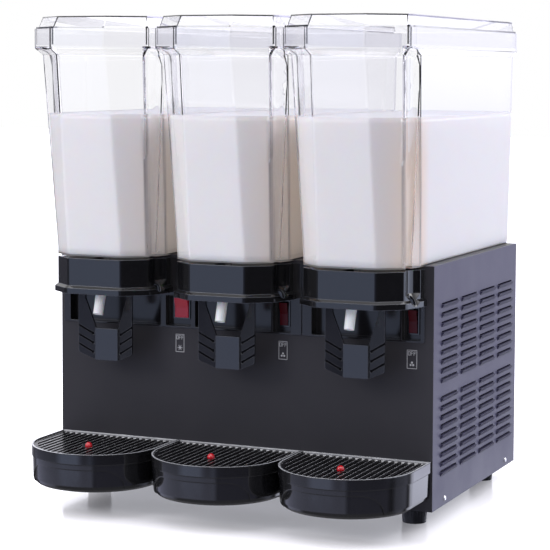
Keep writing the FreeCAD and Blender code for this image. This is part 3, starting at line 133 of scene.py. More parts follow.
# Between two tones, each a socket or plain numbers, by a factor.
def ease(tree, low, high, factor):
    mix = tree.nodes.new("ShaderNodeMix")
    mix.data_type = "RGBA"
    tree.links.new(factor, mix.inputs["Factor"])
    for socket, value in ((mix.inputs["A"], low), (mix.inputs["B"], high)):
        if isinstance(value, tuple):
            socket.default_value = (*value, 1)
        else:
            tree.links.new(value, socket)
    return mix.outputs["Result"]


# A face counts as looking one way when its share of it is over square. An edge leans one way
# from leanFrom, and fully at leanTo. A rim takes its full painted highlight at rimSharp and
# none from rimFlat on.
turning = dict(square=0.9, leanFrom=0.15, leanTo=0.4, rimSharp=0.78, rimFlat=0.94)


# Where a piece gets a painted highlight, from 0 to 1: faces that look a given way within a range
# along one axis of the piece's own place, broken up by noise, or only along the edges that
# lean one way.
def paintedHighlightShare(tree, paintedHighlight):
    looks = reckon(tree, "GREATER_THAN", facingShare(tree, flatWay(tree), paintedHighlight["facing"]),
                   turning["square"])
    if "lean" in paintedHighlight:
        leaning = facingShare(tree, roundedWay(tree, paintedHighlight["reach"]), paintedHighlight["lean"])
        edge = spreadValue(tree, leaning, 0.0, 1.0, turning["leanFrom"], turning["leanTo"])
        looks = reckon(tree, "MULTIPLY", looks, edge)
    along = partsOf(tree, "ShaderNodeTexCoord", "Object")[paintedHighlight["axis"]]
    past = reckon(tree, "GREATER_THAN", along, paintedHighlight["start"])
    if "stop" in paintedHighlight:
        before = reckon(tree, "LESS_THAN", along, paintedHighlight["stop"])
        past = reckon(tree, "MULTIPLY", past, before)
    patchy = spreadValue(tree, grain(tree, paintedHighlight["patch"]), *paintedHighlight["share"])
    return reckon(tree, "MULTIPLY", reckon(tree, "MULTIPLY", looks, past), patchy)


# The levers' wings come forward evenly from the pad's side. Their grooves lie between near
# and far behind the wing's front, and are rougher and less shiny than the rest, and darker
# with a painted shade.
lever = dict(padHalf=0.017, front=-0.1575, flare=0.2403, near=0.0005, far=0.0022,
             wingStart=0.002, rougher=0.4, duller=0.9)


# Where a lever's wing lies a groove's depth behind its front, from 0 to 1: the three levers
# repeat at the tanks' pitch.
def grooveShare(tree):
    place = partsOf(tree, "ShaderNodeTexCoord", "Object")
    half = pitch / 2
    across = reckon(tree, "ABSOLUTE", reckon(tree, "WRAP", place["X"], half, -half))
    out = reckon(tree, "SUBTRACT", across, lever["padHalf"])
    face = reckon(tree, "MULTIPLY_ADD", out, -lever["flare"], lever["front"])
    behind = reckon(tree, "SUBTRACT", place["Y"], face)
    deep = reckon(tree, "GREATER_THAN", behind, lever["near"])
    thin = reckon(tree, "LESS_THAN", behind, lever["far"])
    wing = reckon(tree, "GREATER_THAN", out, lever["wingStart"])
    return reckon(tree, "MULTIPLY", reckon(tree, "MULTIPLY", deep, thin), wing)


# How far an edge's rounding turns the face, from 0 on the flat to 1 at a sharp edge.
def rimShare(tree, rounded):
    turned = facingShare(tree, rounded, flatWay(tree))
    return spreadValue(tree, turned, 1.0, 0.0, turning["rimSharp"], turning["rimFlat"])


# What a look is where its own entry doesn't say: patch and grainScale are the noise's scales,
# depth and softReach are in metres.
usualLook = dict(drift=0.06, patch=18, stretch=(1, 1, 1), paintedHighlight=(), shine=0.5, grainScale=900,
                 depth=0.0001, metal=0.0, coat=0.0, coatRough=0.05, soft=0.0, softReach=0.004)


# Plastic, rubber, paint or metal: colour and roughness drift a little over a fine bump, and
# sharp edges catch the light as if they were rounded by the look's edge radius. Faces and rims
# given a painted highlight take a paler tone, and grooves take a dark painted shade and go dull.
def moulded(name, look):
    material, tree, shader = newMaterial(name)
    look = {**usualLook, **look}
    base = np.array(look["colour"], float)
    drift = look["drift"]
    soft = grain(tree, look["patch"], stretch=look["stretch"])
    low, high = tuple(base * (1 - drift)), tuple(np.minimum(base * (1 + drift), 1))
    tone = spreadColour(tree, soft, low, high)
    # Painted highlights: a paler tone on the chosen faces and edges.
    for paintedHighlight in look["paintedHighlight"]:
        tone = ease(tree, tone, paintedHighlight["tone"], paintedHighlightShare(tree, paintedHighlight))
    rough = spreadValue(tree, soft, *look["rough"])
    shader.inputs["Specular IOR Level"].default_value = look["shine"]
    if "edge" in look:
        rounded = roundedWay(tree, look["edge"])
    # Painted edge highlight: a paler tone where the rounding turns the face.
    if "rim" in look:
        tone = ease(tree, tone, look["rim"], rimShare(tree, rounded))
    # Painted shade in the lever's grooves: darker, and also rougher and duller.
    if "grooveShade" in look:
        sunk = grooveShare(tree)
        tone = ease(tree, tone, look["grooveShade"], sunk)
        rough = reckon(tree, "MULTIPLY_ADD", sunk, lever["rougher"], rough)
        kept = reckon(tree, "MULTIPLY_ADD", sunk, -lever["duller"], 1.0)
        shine = reckon(tree, "MULTIPLY", kept, look["shine"])
        tree.links.new(shine, shader.inputs["Specular IOR Level"])
    tree.links.new(tone, shader.inputs["Base Color"])
    tree.links.new(rough, shader.inputs["Roughness"])
    fine = grain(tree, look["grainScale"], 2, look["stretch"])
    bump = addNode(tree, "ShaderNodeBump", Strength=look["bump"], Distance=look["depth"])
    tree.links.new(fine, bump.inputs["Height"])
    if "edge" in look:
        tree.links.new(rounded, bump.inputs["Normal"])
    tree.links.new(bump.outputs["Normal"], shader.inputs["Normal"])
    shader.inputs["Metallic"].default_value = look["metal"]
    shader.inputs["Coat Weight"].default_value = look["coat"]
    shader.inputs["Coat Roughness"].default_value = look["coatRough"]
    shader.inputs["Subsurface Weight"].default_value = look["soft"]
    shader.inputs["Subsurface Scale"].default_value = look["softReach"]
    if "glow" in look:
        shader.inputs["Emission Color"].default_value = (*look["glow"], 1)
        shader.inputs["Emission Strength"].default_value = look["glowPower"]
    return material


# Clear polycarbonate: it bends light, dims it a little on long ways through the wall, and
# lets the lamps through to what is inside.
def clear(name, look):
    material, tree, shader = newMaterial(name)
    soft = grain(tree, look["patch"])
    tint = spreadColour(tree, soft, look["tintLow"], look["tintHigh"])
    tree.links.new(tint, shader.inputs["Base Color"])
    shader.inputs["Transmission Weight"].default_value = 1.0
    shader.inputs["Roughness"].default_value = look["rough"]
    shader.inputs["IOR"].default_value = look["ior"]
    bump = addNode(tree, "ShaderNodeBump", Strength=look["bump"], Distance=look["waveDepth"])
    tree.links.new(grain(tree, look["waves"], 1), bump.inputs["Height"])
    tree.links.new(bump.outputs["Normal"], shader.inputs["Normal"])
    lamps = tree.nodes.new("ShaderNodeBsdfTransparent")
    lamps.inputs["Color"].default_value = (*look["lampTint"], 1)
    rays = tree.nodes.new("ShaderNodeLightPath")
    mix = tree.nodes.new("ShaderNodeMixShader")
    out = tree.nodes["Material Output"]
    tree.links.new(rays.outputs["Is Shadow Ray"], mix.inputs["Fac"])
    tree.links.new(shader.outputs["BSDF"], mix.inputs[1])
    tree.links.new(lamps.outputs["BSDF"], mix.inputs[2])
    tree.links.new(mix.outputs["Shader"], out.inputs["Surface"])
    wall = addNode(tree, "ShaderNodeVolumeAbsorption", Color=(*look["depthColour"], 1),
                   Density=look["depth"])
    tree.links.new(wall.outputs["Volume"], out.inputs["Volume"])
    return material


# The looks, in linear colours from 0 to 1. rough is a range, edge the radius in metres that an
# edge seems rounded by, rim the tone of a painted highlight on such an edge, and a list of the
# faces that get a painted highlight in a paler tone.
finishes = {
    # Shroud plastic: a painted edge highlight on its rims, and a pale blue painted highlight on
    # its up-facing faces.
    "glossBlack": dict(colour=(0.006, 0.006, 0.007), rough=(0.05, 0.08), bump=0.01, edge=0.001,
                       rim=(0.2, 0.22, 0.28),
                       paintedHighlight=[dict(facing=(0, 0, 1), axis="Z", start=0.0, stop=0.325, patch=60,
                                  share=(0.8, 1.0), tone=(0.34, 0.38, 0.5))]),
    # Tray plastic: a painted highlight along its top rim and on the forward-facing faces at its
    # back.
    "trayBlack": dict(colour=(0.006, 0.006, 0.007), rough=(0.06, 0.1), bump=0.01, edge=0.0014,
                      paintedHighlight=[dict(facing=(0, 0, 1), axis="Z", start=0.0865, patch=60,
                                 share=(0.75, 1.0), tone=(0.55, 0.56, 0.6)),
                            dict(facing=(0, -1, 0), axis="Y", start=-0.131, patch=60,
                                 share=(0.7, 1.0), tone=(0.6, 0.6, 0.62))]),
    # Lever plastic: a painted edge highlight on its rims, and a painted shade in its wings'
    # grooves.
    "leverBlack": dict(colour=(0.007, 0.007, 0.009), rough=(0.16, 0.22), bump=0.04, edge=0.0007,
                       rim=(0.12, 0.125, 0.15), grooveShade=(0.002, 0.002, 0.003)),
    # Grille plastic: painted highlights along the bars' left edges, a pale painted line over the
    # rear border, and bright painted glints on the forward-facing ends at the back.
    "grilleBlack": dict(colour=(0.005, 0.005, 0.006), rough=(0.2, 0.26), bump=0.04, edge=0.0006,
                        shine=0.12,
                        paintedHighlight=[dict(facing=(0, 0, 1), axis="Z", start=0.0, patch=160,
                                   share=(0.25, 1.0), tone=(0.7, 0.7, 0.75), lean=(-1, 0, 0),
                                   reach=0.0018),
                              dict(facing=(0, 0, 1), axis="Y", start=-0.1262, patch=60,
                                   share=(0.6, 1.0), tone=(0.26, 0.26, 0.29)),
                              dict(facing=(0, -1, 0), axis="Y", start=-0.1315, patch=60,
                                   share=(0.9, 1.0), tone=(0.95, 0.95, 0.97))]),
    # Fascia plastic: a painted edge highlight on its rims.
    "fasciaBlack": dict(colour=(0.014, 0.013, 0.015), rough=(0.12, 0.16), bump=0.02, edge=0.0008,
                        shine=0.3, rim=(0.12, 0.125, 0.15)),
    "panelCharcoal": dict(colour=(0.036, 0.0345, 0.0405), rough=(0.5, 0.58), bump=0.2,
                          grainScale=1600, shine=0.16),
    # The sides' and back's paint: dark, and part of its blue is a painted sheen of the bluish
    # light there.
    "sidePaintAndSheen": dict(colour=(0.046, 0.044, 0.084), rough=(0.34, 0.42), bump=0.25, grainScale=1600,
                      shine=0.35, edge=0.0006),
    "deckPaint": dict(colour=(0.03, 0.028, 0.032), rough=(0.4, 0.5), bump=0.25, grainScale=1600),
    "whiteSilicone": dict(colour=(0.86, 0.86, 0.88), rough=(0.3, 0.36), bump=0.05, soft=0.3,
                          edge=0.0008),
    "floatRed": dict(colour=(0.56, 0.004, 0.012), rough=(0.14, 0.2), coat=0.4, bump=0.03),
    # Lit switch: the glow is the switch's own lamp; its rims take a painted edge highlight.
    "litRed": dict(colour=(0.34, 0.002, 0.013), rough=(0.08, 0.12), shine=0.35, bump=0.02,
                   glow=(0.8, 0.003, 0.03), glowPower=0.06, edge=0.0012,
                   rim=(0.75, 0.2, 0.3)),
    "darkRed": dict(colour=(0.06, 0.001, 0.004), rough=(0.2, 0.28), shine=0.14, bump=0.02,
                    edge=0.0006),
    "switchBlack": dict(colour=(0.008, 0.008, 0.009), rough=(0.1, 0.16), bump=0.03, edge=0.0006),
    "domeSteel": dict(colour=(0.62, 0.62, 0.63), metal=1.0, rough=(0.24, 0.32), bump=0.15,
                      grainScale=500, stretch=(1, 1, 12)),
    "sealRubber": dict(colour=(0.05, 0.05, 0.052), rough=(0.55, 0.65), bump=0.1),
    "paddlePlastic": dict(colour=(0.7, 0.7, 0.7), rough=(0.32, 0.4), bump=0.05),
    "copper": dict(colour=(0.72, 0.32, 0.18), metal=1.0, rough=(0.3, 0.42), bump=0.1),
    "zincSheet": dict(colour=(0.5, 0.51, 0.53), metal=1.0, rough=(0.35, 0.5), bump=0.1, patch=60),
    "magnetGrey": dict(colour=(0.12, 0.12, 0.13), rough=(0.4, 0.5), bump=0.1),
    "pinSteel": dict(colour=(0.65, 0.65, 0.66), metal=1.0, rough=(0.16, 0.22), bump=0.05),
    "footRubber": dict(colour=(0.008, 0.008, 0.009), rough=(0.2, 0.28), bump=0.1, edge=0.0006,
                       shine=0.22),
    "screwSteel": dict(colour=(0.72, 0.72, 0.74), metal=1.0, rough=(0.2, 0.28), bump=0.05),
    "compressorBlack": dict(colour=(0.02, 0.02, 0.022), rough=(0.3, 0.4), bump=0.15, coat=0.2),
    "finAluminium": dict(colour=(0.7, 0.71, 0.72), metal=1.0, rough=(0.3, 0.4), bump=0.1),
    "fanGrey": dict(colour=(0.16, 0.16, 0.17), rough=(0.35, 0.45), bump=0.05),
    "glandBlack": dict(colour=(0.02, 0.02, 0.022), rough=(0.4, 0.5), bump=0.1),
    "labelInk": dict(colour=(0.5, 0.5, 0.52), rough=(0.5, 0.6), bump=0.02, patch=60),
}
polycarbonate = dict(patch=6, ior=1.44, waves=14, waveDepth=0.0005, lampTint=(0.97, 0.97, 0.98),
                     depthColour=(0.3, 0.28, 0.6), depth=4)
clearLooks = {
    "tankClear": dict(polycarbonate, tintLow=(0.996, 0.996, 0.998), tintHigh=(1.0, 1.0, 1.0),
                      rough=0.01, bump=0.02),
    "lidClear": dict(polycarbonate, tintLow=(0.995, 0.995, 0.998), tintHigh=(0.999, 0.999, 1.0),
                     rough=0.015, bump=0.03),
}
made = {name: moulded(name, look) for name, look in finishes.items()}
made.update({name: clear(name, look) for name, look in clearLooks.items()})
print("finishes made:", len(made))

# What each node is finished in, by the start of its name.
dressing = {
    "tank_gaskets": "sealRubber", "tank_": "tankClear", "lid_": "lidClear",
    "tap_tube_": "whiteSilicone", "tap_shroud_": "glossBlack", "tap_fascia_": "fasciaBlack",
    "lever_pins": "pinSteel", "lever_springs": "pinSteel", "lever_": "leverBlack",
    "drip_tray_": "trayBlack", "tray_grille_": "grilleBlack", "tray_float_": "floatRed",
    "stirrer_motors": "zincSheet", "stirrer_": "paddlePlastic", "drive_rotor_": "magnetGrey",
    "rocker_1": "litRed", "rocker_": "darkRed", "switch_bodies": "switchBlack",
    "cooling_domes": "domeSteel", "evaporator_sleeves": "copper", "front_panel": "panelCharcoal",
    "side_panel_": "sidePaintAndSheen", "side_screws": "screwSteel", "rear_panel": "sidePaintAndSheen",
    "top_deck": "deckPaint", "base_pan": "zincSheet", "feet": "footRubber",
    "compressor": "compressorBlack", "condenser": "finAluminium", "fan_motor": "compressorBlack",
    "fan_bracket": "zincSheet", "fan_blade": "fanGrey", "mains_gland": "glandBlack",
}
for name, node in nodes.items():
    finish = next(dressing[start] for start in dressing if name.startswith(start))
    node.data.materials.clear()
    node.data.materials.append(made[finish])
print("nodes dressed")

# One tank's outside, seen from above, at its base and neck: half widths and depths in metres.
tankShape = {
    "base": dict(front=(0.0396, 0.0725), shoulder=(0.0684, 0.049), side=(0.0778, 0.014),
                 back=0.378, corner=0.020),
    "neck": dict(front=(0.036, 0.1056), shoulder=(0.0766, 0.073), side=(0.0826, 0.033),
                 back=0.381, corner=0.022),
    "low": 0.338, "high": 0.604, "wall": 0.003, "channelOut": 0.0145, "channelForward": 0.003,
    "channelBase": 0.022, "channelNeck": 0.024, "middle": 0.172,
    "cornerTurns": 9, "beyond": 9.0, "least": 1e-6,
}


# How far the tank reaches from its middle in each direction at each level: the least of the
# distances to its flat sides, cut short where a finger channel comes in. Turn 0 looks to
# the front. Also says where the channel is.
def tankReach(level, inset, turns):
    rise = (np.asarray(level, float) - tankShape["low"]) / (tankShape["high"] - tankShape["low"])
    rise = rise[..., None]

    # A measure of the outline at these levels: an even blend from the base's to the neck's.
    def at(key, index=None):
        low, high = (tankShape[part][key] for part in ("base", "neck"))
        low, high = (low, high) if index is None else (low[index], high[index])
        return low + (high - low) * rise
    middle = tankShape["middle"]
    points = [(at(key, 0), at(key, 1)) for key in ("front", "shoulder", "side")]
    beyond, least = tankShape["beyond"], tankShape["least"]
    reach = np.full(np.broadcast(rise, turns).shape, beyond)
    across, forward = np.abs(np.sin(turns)), np.cos(turns)

    # Keeps the reach inside one flat side, given by its normal and its distance.
    def trim(normalX, normalY, offset):
        along = normalX * across + normalY * forward
        ahead = offset / np.maximum(along, least)
        np.minimum(reach, np.where(along > least, ahead, beyond), out=reach)
    trim(0.0, 1.0, points[0][1] + middle - inset)
    for (x0, y0), (x1, y1) in zip(points, points[1:]):
        size = np.hypot(y0 - y1, x1 - x0)
        normalX, normalY = (y0 - y1) / size, (x1 - x0) / size
        trim(normalX, normalY, normalX * x0 + normalY * (y0 + middle) - inset)
    trim(1.0, 0.0, points[2][0] - inset)
    corner, half, back = at("corner"), points[2][0], at("back") - middle
    for turn in np.linspace(0, math.pi / 2, tankShape["cornerTurns"]):
        trim(math.cos(turn), -math.sin(turn),
             (half - corner) * math.cos(turn) + (back - corner) * math.sin(turn) + corner - inset)
    growth = tankShape["channelNeck"] - tankShape["channelBase"]
    channel = tankShape["channelBase"] + growth * rise + inset
    channelX = (points[1][0] + points[2][0]) / 2 + tankShape["channelOut"]
    channelY = (points[1][1] + points[2][1]) / 2 + tankShape["channelForward"] + middle
    along = channelX * across + channelY * forward
    off = channelX ** 2 + channelY ** 2 - along ** 2
    enters = along - np.sqrt(np.maximum(channel ** 2 - off, 0))
    within = (off < channel ** 2) & (enters < reach)
    return np.where(within, enters, reach), within


# A closed skin from rings of points, the first and last ring drawn in to their middles.
def ringMesh(name, points):
    rings, count = points.shape[:2]
    index = np.arange(rings * count).reshape(rings, count)
    after = np.roll(index, -1, axis=1)
    quads = np.stack([index[:-1], after[:-1], after[1:], index[1:]], axis=-1).reshape(-1, 4)
    total = rings * count
    first = np.stack([np.full(count, total), after[0], index[0]], axis=-1)
    last = np.stack([np.full(count, total + 1), index[-1], after[-1]], axis=-1)
    ends = np.stack([points[0].mean(0), points[-1].mean(0)])
    spots = np.concatenate([points.reshape(-1, 3), ends])
    return plainMesh(name, spots, [quads, first, last])


# A smooth mesh from points and several arrays of faces, each with one number of corners.
def plainMesh(name, spots, faces, smooth=True):
    mesh = bpy.data.meshes.new(name)
    corners = np.concatenate([part.ravel() for part in faces])
    sizes = np.concatenate([np.full(len(part), part.shape[1]) for part in faces])
    mesh.vertices.add(len(spots))
    mesh.vertices.foreach_set("co", np.asarray(spots, float).ravel())
    mesh.loops.add(len(corners))
    mesh.loops.foreach_set("vertex_index", corners)
    mesh.polygons.add(len(sizes))
    mesh.polygons.foreach_set("loop_start", np.concatenate([[0], np.cumsum(sizes)[:-1]]))
    mesh.polygons.foreach_set("use_smooth", np.full(len(sizes), smooth))
    mesh.update()
    mesh.validate()
    return mesh


# A piece at the origin, in its material, that rides on a body.
def newPiece(name, mesh, material, body):
    piece = bpy.data.objects.new(name, mesh)
    bpy.context.scene.collection.objects.link(piece)
    mesh.materials.append(material)
    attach(piece, body)


# The drink: up to a level line, hollow round the cooling dome, and wetting the wall: its skin
# lies just inside the wall's own, so no air shows between them. Towards the sides that face
# another tank it takes a painted warm shade and a stronger painted glow, and everywhere but
# the level top it glows a little, a painted light. A thin painted dark line stands in for the
# shade where the wall's corner at a finger channel hides it. The level top is greyer, a
# painted shade.
# white is its own colour; warm, line and top are painted shade tones, the glows painted light.
drink = dict(white=(0.9, 0.892, 0.895), warm=(0.8, 0.68, 0.58), level=0.527, wet=0.0006,
             floor=0.3396, wallStart=0.3412, column=0.0585, columnTop=0.431, climb=0.0012,
             around=720, levels=26, line=(0.1, 0.09, 0.12), cornerShadeStrength=0.72, top=(0.8, 0.79, 0.8),
             warmFrom=0.13, warmTo=0.38, warmEnd=1.3, aloneEnd=0.46, leftShare=0.35,
             warmShare={1: 0.68, 2: 0.88, 3: 1.15}, warmDepth=0.06, warmTop=0.45,
             patch=9, patchy=0.06, toneFrom=0.03, toneTo=1.0, rough=(0.3, 0.36), flat=0.7,
             soft=0.4, softReach=0.02, softColour=(1.0, 0.62, 0.42), glow=0.1, paintedWarmGlow=0.11,
             capShares=(0.25, 0.6, 0.95), columnRings=4, columnEase=0.003,
             floorShares=(0.3, 0.7, 0.985), paintedCornerShadeFiner=16,
             topRings=((0.985, 0.8), (0.96, 0.97), (0.9, 1.0), (0.6, 1.0), (0.2, 1.0)))


# A value stored on the mesh's points, as a factor output.
def storedShare(tree, name):
    stored = tree.nodes.new("ShaderNodeAttribute")
    stored.attribute_name = name
    return stored.outputs["Fac"]


# The drink's look: white to a painted warm shade by the stored share, darker by a stored
# painted dark line, and greyer on the level top, a painted shade; all but the level top glows,
# a painted light.
def drinkMaterial():
    material, tree, shader = newMaterial("drink")
    # Painted warm shade, towards the sides that face another tank.
    paintedWarmth = storedShare(tree, "paintedWarmth")
    soft = grain(tree, drink["patch"])
    blend = reckon(tree, "MULTIPLY_ADD", soft, drink["patchy"], paintedWarmth)
    tone = spreadColour(tree, blend, drink["white"], drink["warm"], drink["toneFrom"],
                        drink["toneTo"])
    # Painted shade: a dark line where the wall's corner at a finger channel hides the drink.
    paintedCornerShade = reckon(tree, "MULTIPLY", storedShare(tree, "paintedCornerShade"), drink["cornerShadeStrength"])
    tone = ease(tree, tone, drink["line"], paintedCornerShade)
    # Painted shade: the level top takes a greyer tone.
    up = partsOf(tree, "ShaderNodeNewGeometry", "True Normal")["Z"]
    level = reckon(tree, "GREATER_THAN", up, drink["flat"])
    tone = ease(tree, tone, drink["top"], level)
    tree.links.new(tone, shader.inputs["Base Color"])
    tree.links.new(spreadValue(tree, soft, *drink["rough"]), shader.inputs["Roughness"])
    shader.inputs["Subsurface Weight"].default_value = drink["soft"]
    shader.inputs["Subsurface Scale"].default_value = drink["softReach"]
    shader.inputs["Subsurface Radius"].default_value = drink["softColour"]
    # Painted light: the drink glows, more with the painted warm shade, but not on the level top.
    tree.links.new(tone, shader.inputs["Emission Color"])
    glow = reckon(tree, "MULTIPLY_ADD", paintedWarmth, drink["paintedWarmGlow"], drink["glow"])
    glow = reckon(tree, "MULTIPLY", glow, reckon(tree, "SUBTRACT", 1.0, level))
    tree.links.new(glow, shader.inputs["Emission Strength"])
    return material


# The painted warm shade and glow by turn: it rises over the slanted facets and falls off
# along the straight sides, sooner on a side that no tank stands beside. It is weaker on the left
# and near the top.
def drinkPaintedWarmth(turns, level, number):
    turn = (turns + math.pi) % (2 * math.pi) - math.pi
    alone = {1: turn < 0, 3: turn > 0}.get(number, False)
    side = np.where(turn < 0, drink["leftShare"], 1.0)
    turn = np.abs(turn)
    rise = np.clip((turn - drink["warmFrom"]) / (drink["warmTo"] - drink["warmFrom"]), 0, 1)
    end = np.where(alone, drink["aloneEnd"], drink["warmEnd"])
    fall = np.clip((turn - drink["warmTo"]) / (end - drink["warmTo"]), 0, 1)
    depth = np.clip((drink["level"] - level) / drink["warmDepth"], 0, 1)
    deeper = drink["warmTop"] + (1 - drink["warmTop"]) * depth
    return drink["warmShare"][number] * side * rise * (1 - fall) * deeper


# Nearness to the corners where a finger channel starts or ends, found on finer turns: 1 at a
# corner, 0 one step of turns away. It places the painted dark line that stands in for the shade
# at these corners.
def paintedCornerShadeShare(level, inset, turns):
    fine = np.linspace(0, 2 * math.pi, len(turns) * drink["paintedCornerShadeFiner"], endpoint=False)
    within = tankReach([level], inset, fine)[1][0]
    corners = fine[within != np.roll(within, 1)]
    off = np.abs((turns[:, None] - corners + math.pi) % (2 * math.pi) - math.pi).min(axis=1)
    return np.clip(1 - off / turns[1], 0, 1)


# One drink as rings from the column's cap down round the dome, out over the tank's floor, up
# the wall and in over the level top, each ring the reach at its level times a share.
def makeDrink(number, middleX):
    turns = np.linspace(0, 2 * math.pi, drink["around"], endpoint=False)
    inset = tankShape["wall"] - drink["wet"]
    aim = np.stack([np.sin(turns), -np.cos(turns)], axis=-1)
    rings, paintedWarmth, paintedCornerShades = [], [], []

    # Adds one ring: its points at a level, and the painted warm shade and dark line stored on
    # them.
    def ring(level, radius, paintedCornerShade=np.zeros(drink["around"])):
        place = np.empty((len(turns), 3))
        place[:, :2] = aim * np.reshape(radius, (-1, 1))
        place[:, 2] = level
        rings.append(place)
        paintedWarmth.append(drinkPaintedWarmth(turns, level, number))
        paintedCornerShades.append(paintedCornerShade)
    for share in drink["capShares"]:
        ring(drink["columnTop"], drink["column"] * share)
    for level in np.linspace(drink["columnTop"] - drink["columnEase"], drink["floor"],
                             drink["columnRings"]):
        ring(level, drink["column"])
    floor = tankReach([drink["wallStart"]], inset, turns)[0][0]
    for share in drink["floorShares"]:
        ring(drink["floor"], drink["column"] + (floor - drink["column"]) * share)
    for level in np.linspace(drink["wallStart"], drink["level"], drink["levels"]):
        reach = tankReach([level], inset, turns)[0]
        ring(level, reach[0], paintedCornerShadeShare(level, inset, turns))
    top = reach[0]
    for share, dip in drink["topRings"]:
        ring(drink["level"] - drink["climb"] * dip, top * share)
    points = np.array(rings) + (middleX, tankShape["middle"] + frontSet, 0)
    mesh = ringMesh("drink_%d" % number, points)
    # Stores the painted warm shade and the painted dark line on the points.
    for key, values in (("paintedWarmth", paintedWarmth), ("paintedCornerShade", paintedCornerShades)):
        shade = mesh.attributes.new(key, "FLOAT", "POINT")
        spread = np.concatenate([np.ravel(values), [0, 0]]).astype(np.float32)
        shade.data.foreach_set("value", spread)
    newPiece("drink_%d" % number, mesh, made["drink"], "tank_%d" % number)


made["drink"] = drinkMaterial()
for number, middleX in enumerate(modules, 1):
    makeDrink(number, middleX)
print("drinks poured")

# The printed marks under the switches: a thin frame, a word and a sign, a hair off the panel.
# The letters' widths and steps are shares of the word's height, and a place is X, Z, width
# and height.
label = dict(lift=0.00008, line=0.0007, word="OFF", wordSize=0.0046, wordDrop=0.0042,
             letterHalf=0.26, letterStep=0.82, barShare=0.6, signRise=0.0056, signReach=0.0033,
             signWidth=0.0008, starTurns=(0, 60, 120), discTurns=(90, 210, 330), discOut=0.62,
             discReach=0.001368, discAround=12)
labelPlaces = {1: (-0.0884, 0.219, 0.0120, 0.0235), 2: (0.0624, 0.2185, 0.0118, 0.0235),
               3: (0.2414, 0.218, 0.0130, 0.0235)}


# Flat bars on the panel, each from one point to another with a width, as quads in X and Z.
def barQuads(bars, width):
    starts, ends = np.array(bars, float).transpose(1, 0, 2)
    along = ends - starts
    along /= np.linalg.norm(along, axis=1, keepdims=True)
    side = np.stack([-along[:, 1], along[:, 0]], axis=1) * width / 2
    reach = along * width / 2
    return np.stack([starts - reach - side, ends + reach - side,
                     ends + reach + side, starts - reach + side], axis=1)


# Flat discs on the panel, each a fan of quads round its middle.
def discQuads(middles, radius):
    turns = np.linspace(0, 2 * math.pi, label["discAround"] + 1)
    rim = np.stack([np.cos(turns), np.sin(turns)], axis=1) * radius
    middles = np.array(middles, float)[:, None, :]
    first, second, third = rim[0:-1:2], rim[1::2], rim[2::2]
    fan = np.stack([np.zeros_like(first), first, second, third], axis=1)
    return (fan[None] + middles[:, :, None]).reshape(-1, 4, 2)


# Letters O and F from bars: one up the left side and one on top, then the right side and the
# foot, or a shorter one across the middle.
def wordBars(middleX, middleZ):
    high, wide = label["wordSize"] / 2, label["wordSize"] * label["letterHalf"]
    step = label["wordSize"] * label["letterStep"]
    bars = []
    for place, letter in zip((-step, 0, step), label["word"]):
        x, z = middleX + place, middleZ
        bars.append([(x - wide, z - high), (x - wide, z + high)])
        bars.append([(x - wide, z + high), (x + wide, z + high)])
        if letter == "O":
            bars.append([(x + wide, z + high), (x + wide, z - high)])
            bars.append([(x + wide, z - high), (x - wide, z - high)])
        else:
            bars.append([(x - wide, z), (x + wide * label["barShare"], z)])
    return bars


# One label as flat quads on the panel: a frame of four bars, the word near its top, and near
# its foot a star of three bars through one point, or three discs round it.
def makeLabel(number, place):
    x, z, width, height = place
    left, right, low, high = x - width / 2, x + width / 2, z - height / 2, z + height / 2
    edge = [[(left, low), (right, low)], [(right, low), (right, high)],
            [(right, high), (left, high)], [(left, high), (left, low)]]
    quads = [barQuads(edge, label["line"]),
             barQuads(wordBars(x, high - label["wordDrop"]), label["line"])]
    signZ, reach = low + label["signRise"], label["signReach"]
    turns = np.radians(label["starTurns"] if number == 1 else label["discTurns"])
    arms = np.stack([np.cos(turns), np.sin(turns)], axis=1) * reach
    middle = np.array((x, signZ))
    if number == 1:
        quads.append(barQuads([[middle - arm, middle + arm] for arm in arms], label["signWidth"]))
    else:
        quads.append(discQuads(middle + arms * label["discOut"], label["discReach"]))
    flat = np.concatenate(quads)
    spots = np.empty((len(flat), 4, 3))
    spots[..., 0], spots[..., 2] = flat[..., 0], flat[..., 1]
    spots[..., 1] = frontSet - label["lift"]
    faces = np.arange(len(flat) * 4).reshape(-1, 4)
    mesh = plainMesh("label_%d" % number, spots.reshape(-1, 3), [faces], smooth=False)
    newPiece("label_%d" % number, mesh, made["labelInk"], "cabinet")


for number, place in labelPlaces.items():
    makeLabel(number, place)
print("labels printed")

# The floor shines white away from the machine and keeps the shadows under it: the glow grows
# with the distance from a box in the machine's footprint, so its low glow near the machine is a
# painted shadow.
floorLook = dict(half=14.0, near=0.0, far=0.15, nearGlow=0.12, farGlow=0.82,
                 middle=(0.02, 0.03), box=(0.2, 0.2), colour=(0.88, 0.87, 0.92), patch=2,
                 rough=(0.1, 0.14), shine=1.0, glowTone=(0.97, 0.96, 1.0))
someBounces = 0.5    # counts of bounces are whole numbers: under it is none, over it is some


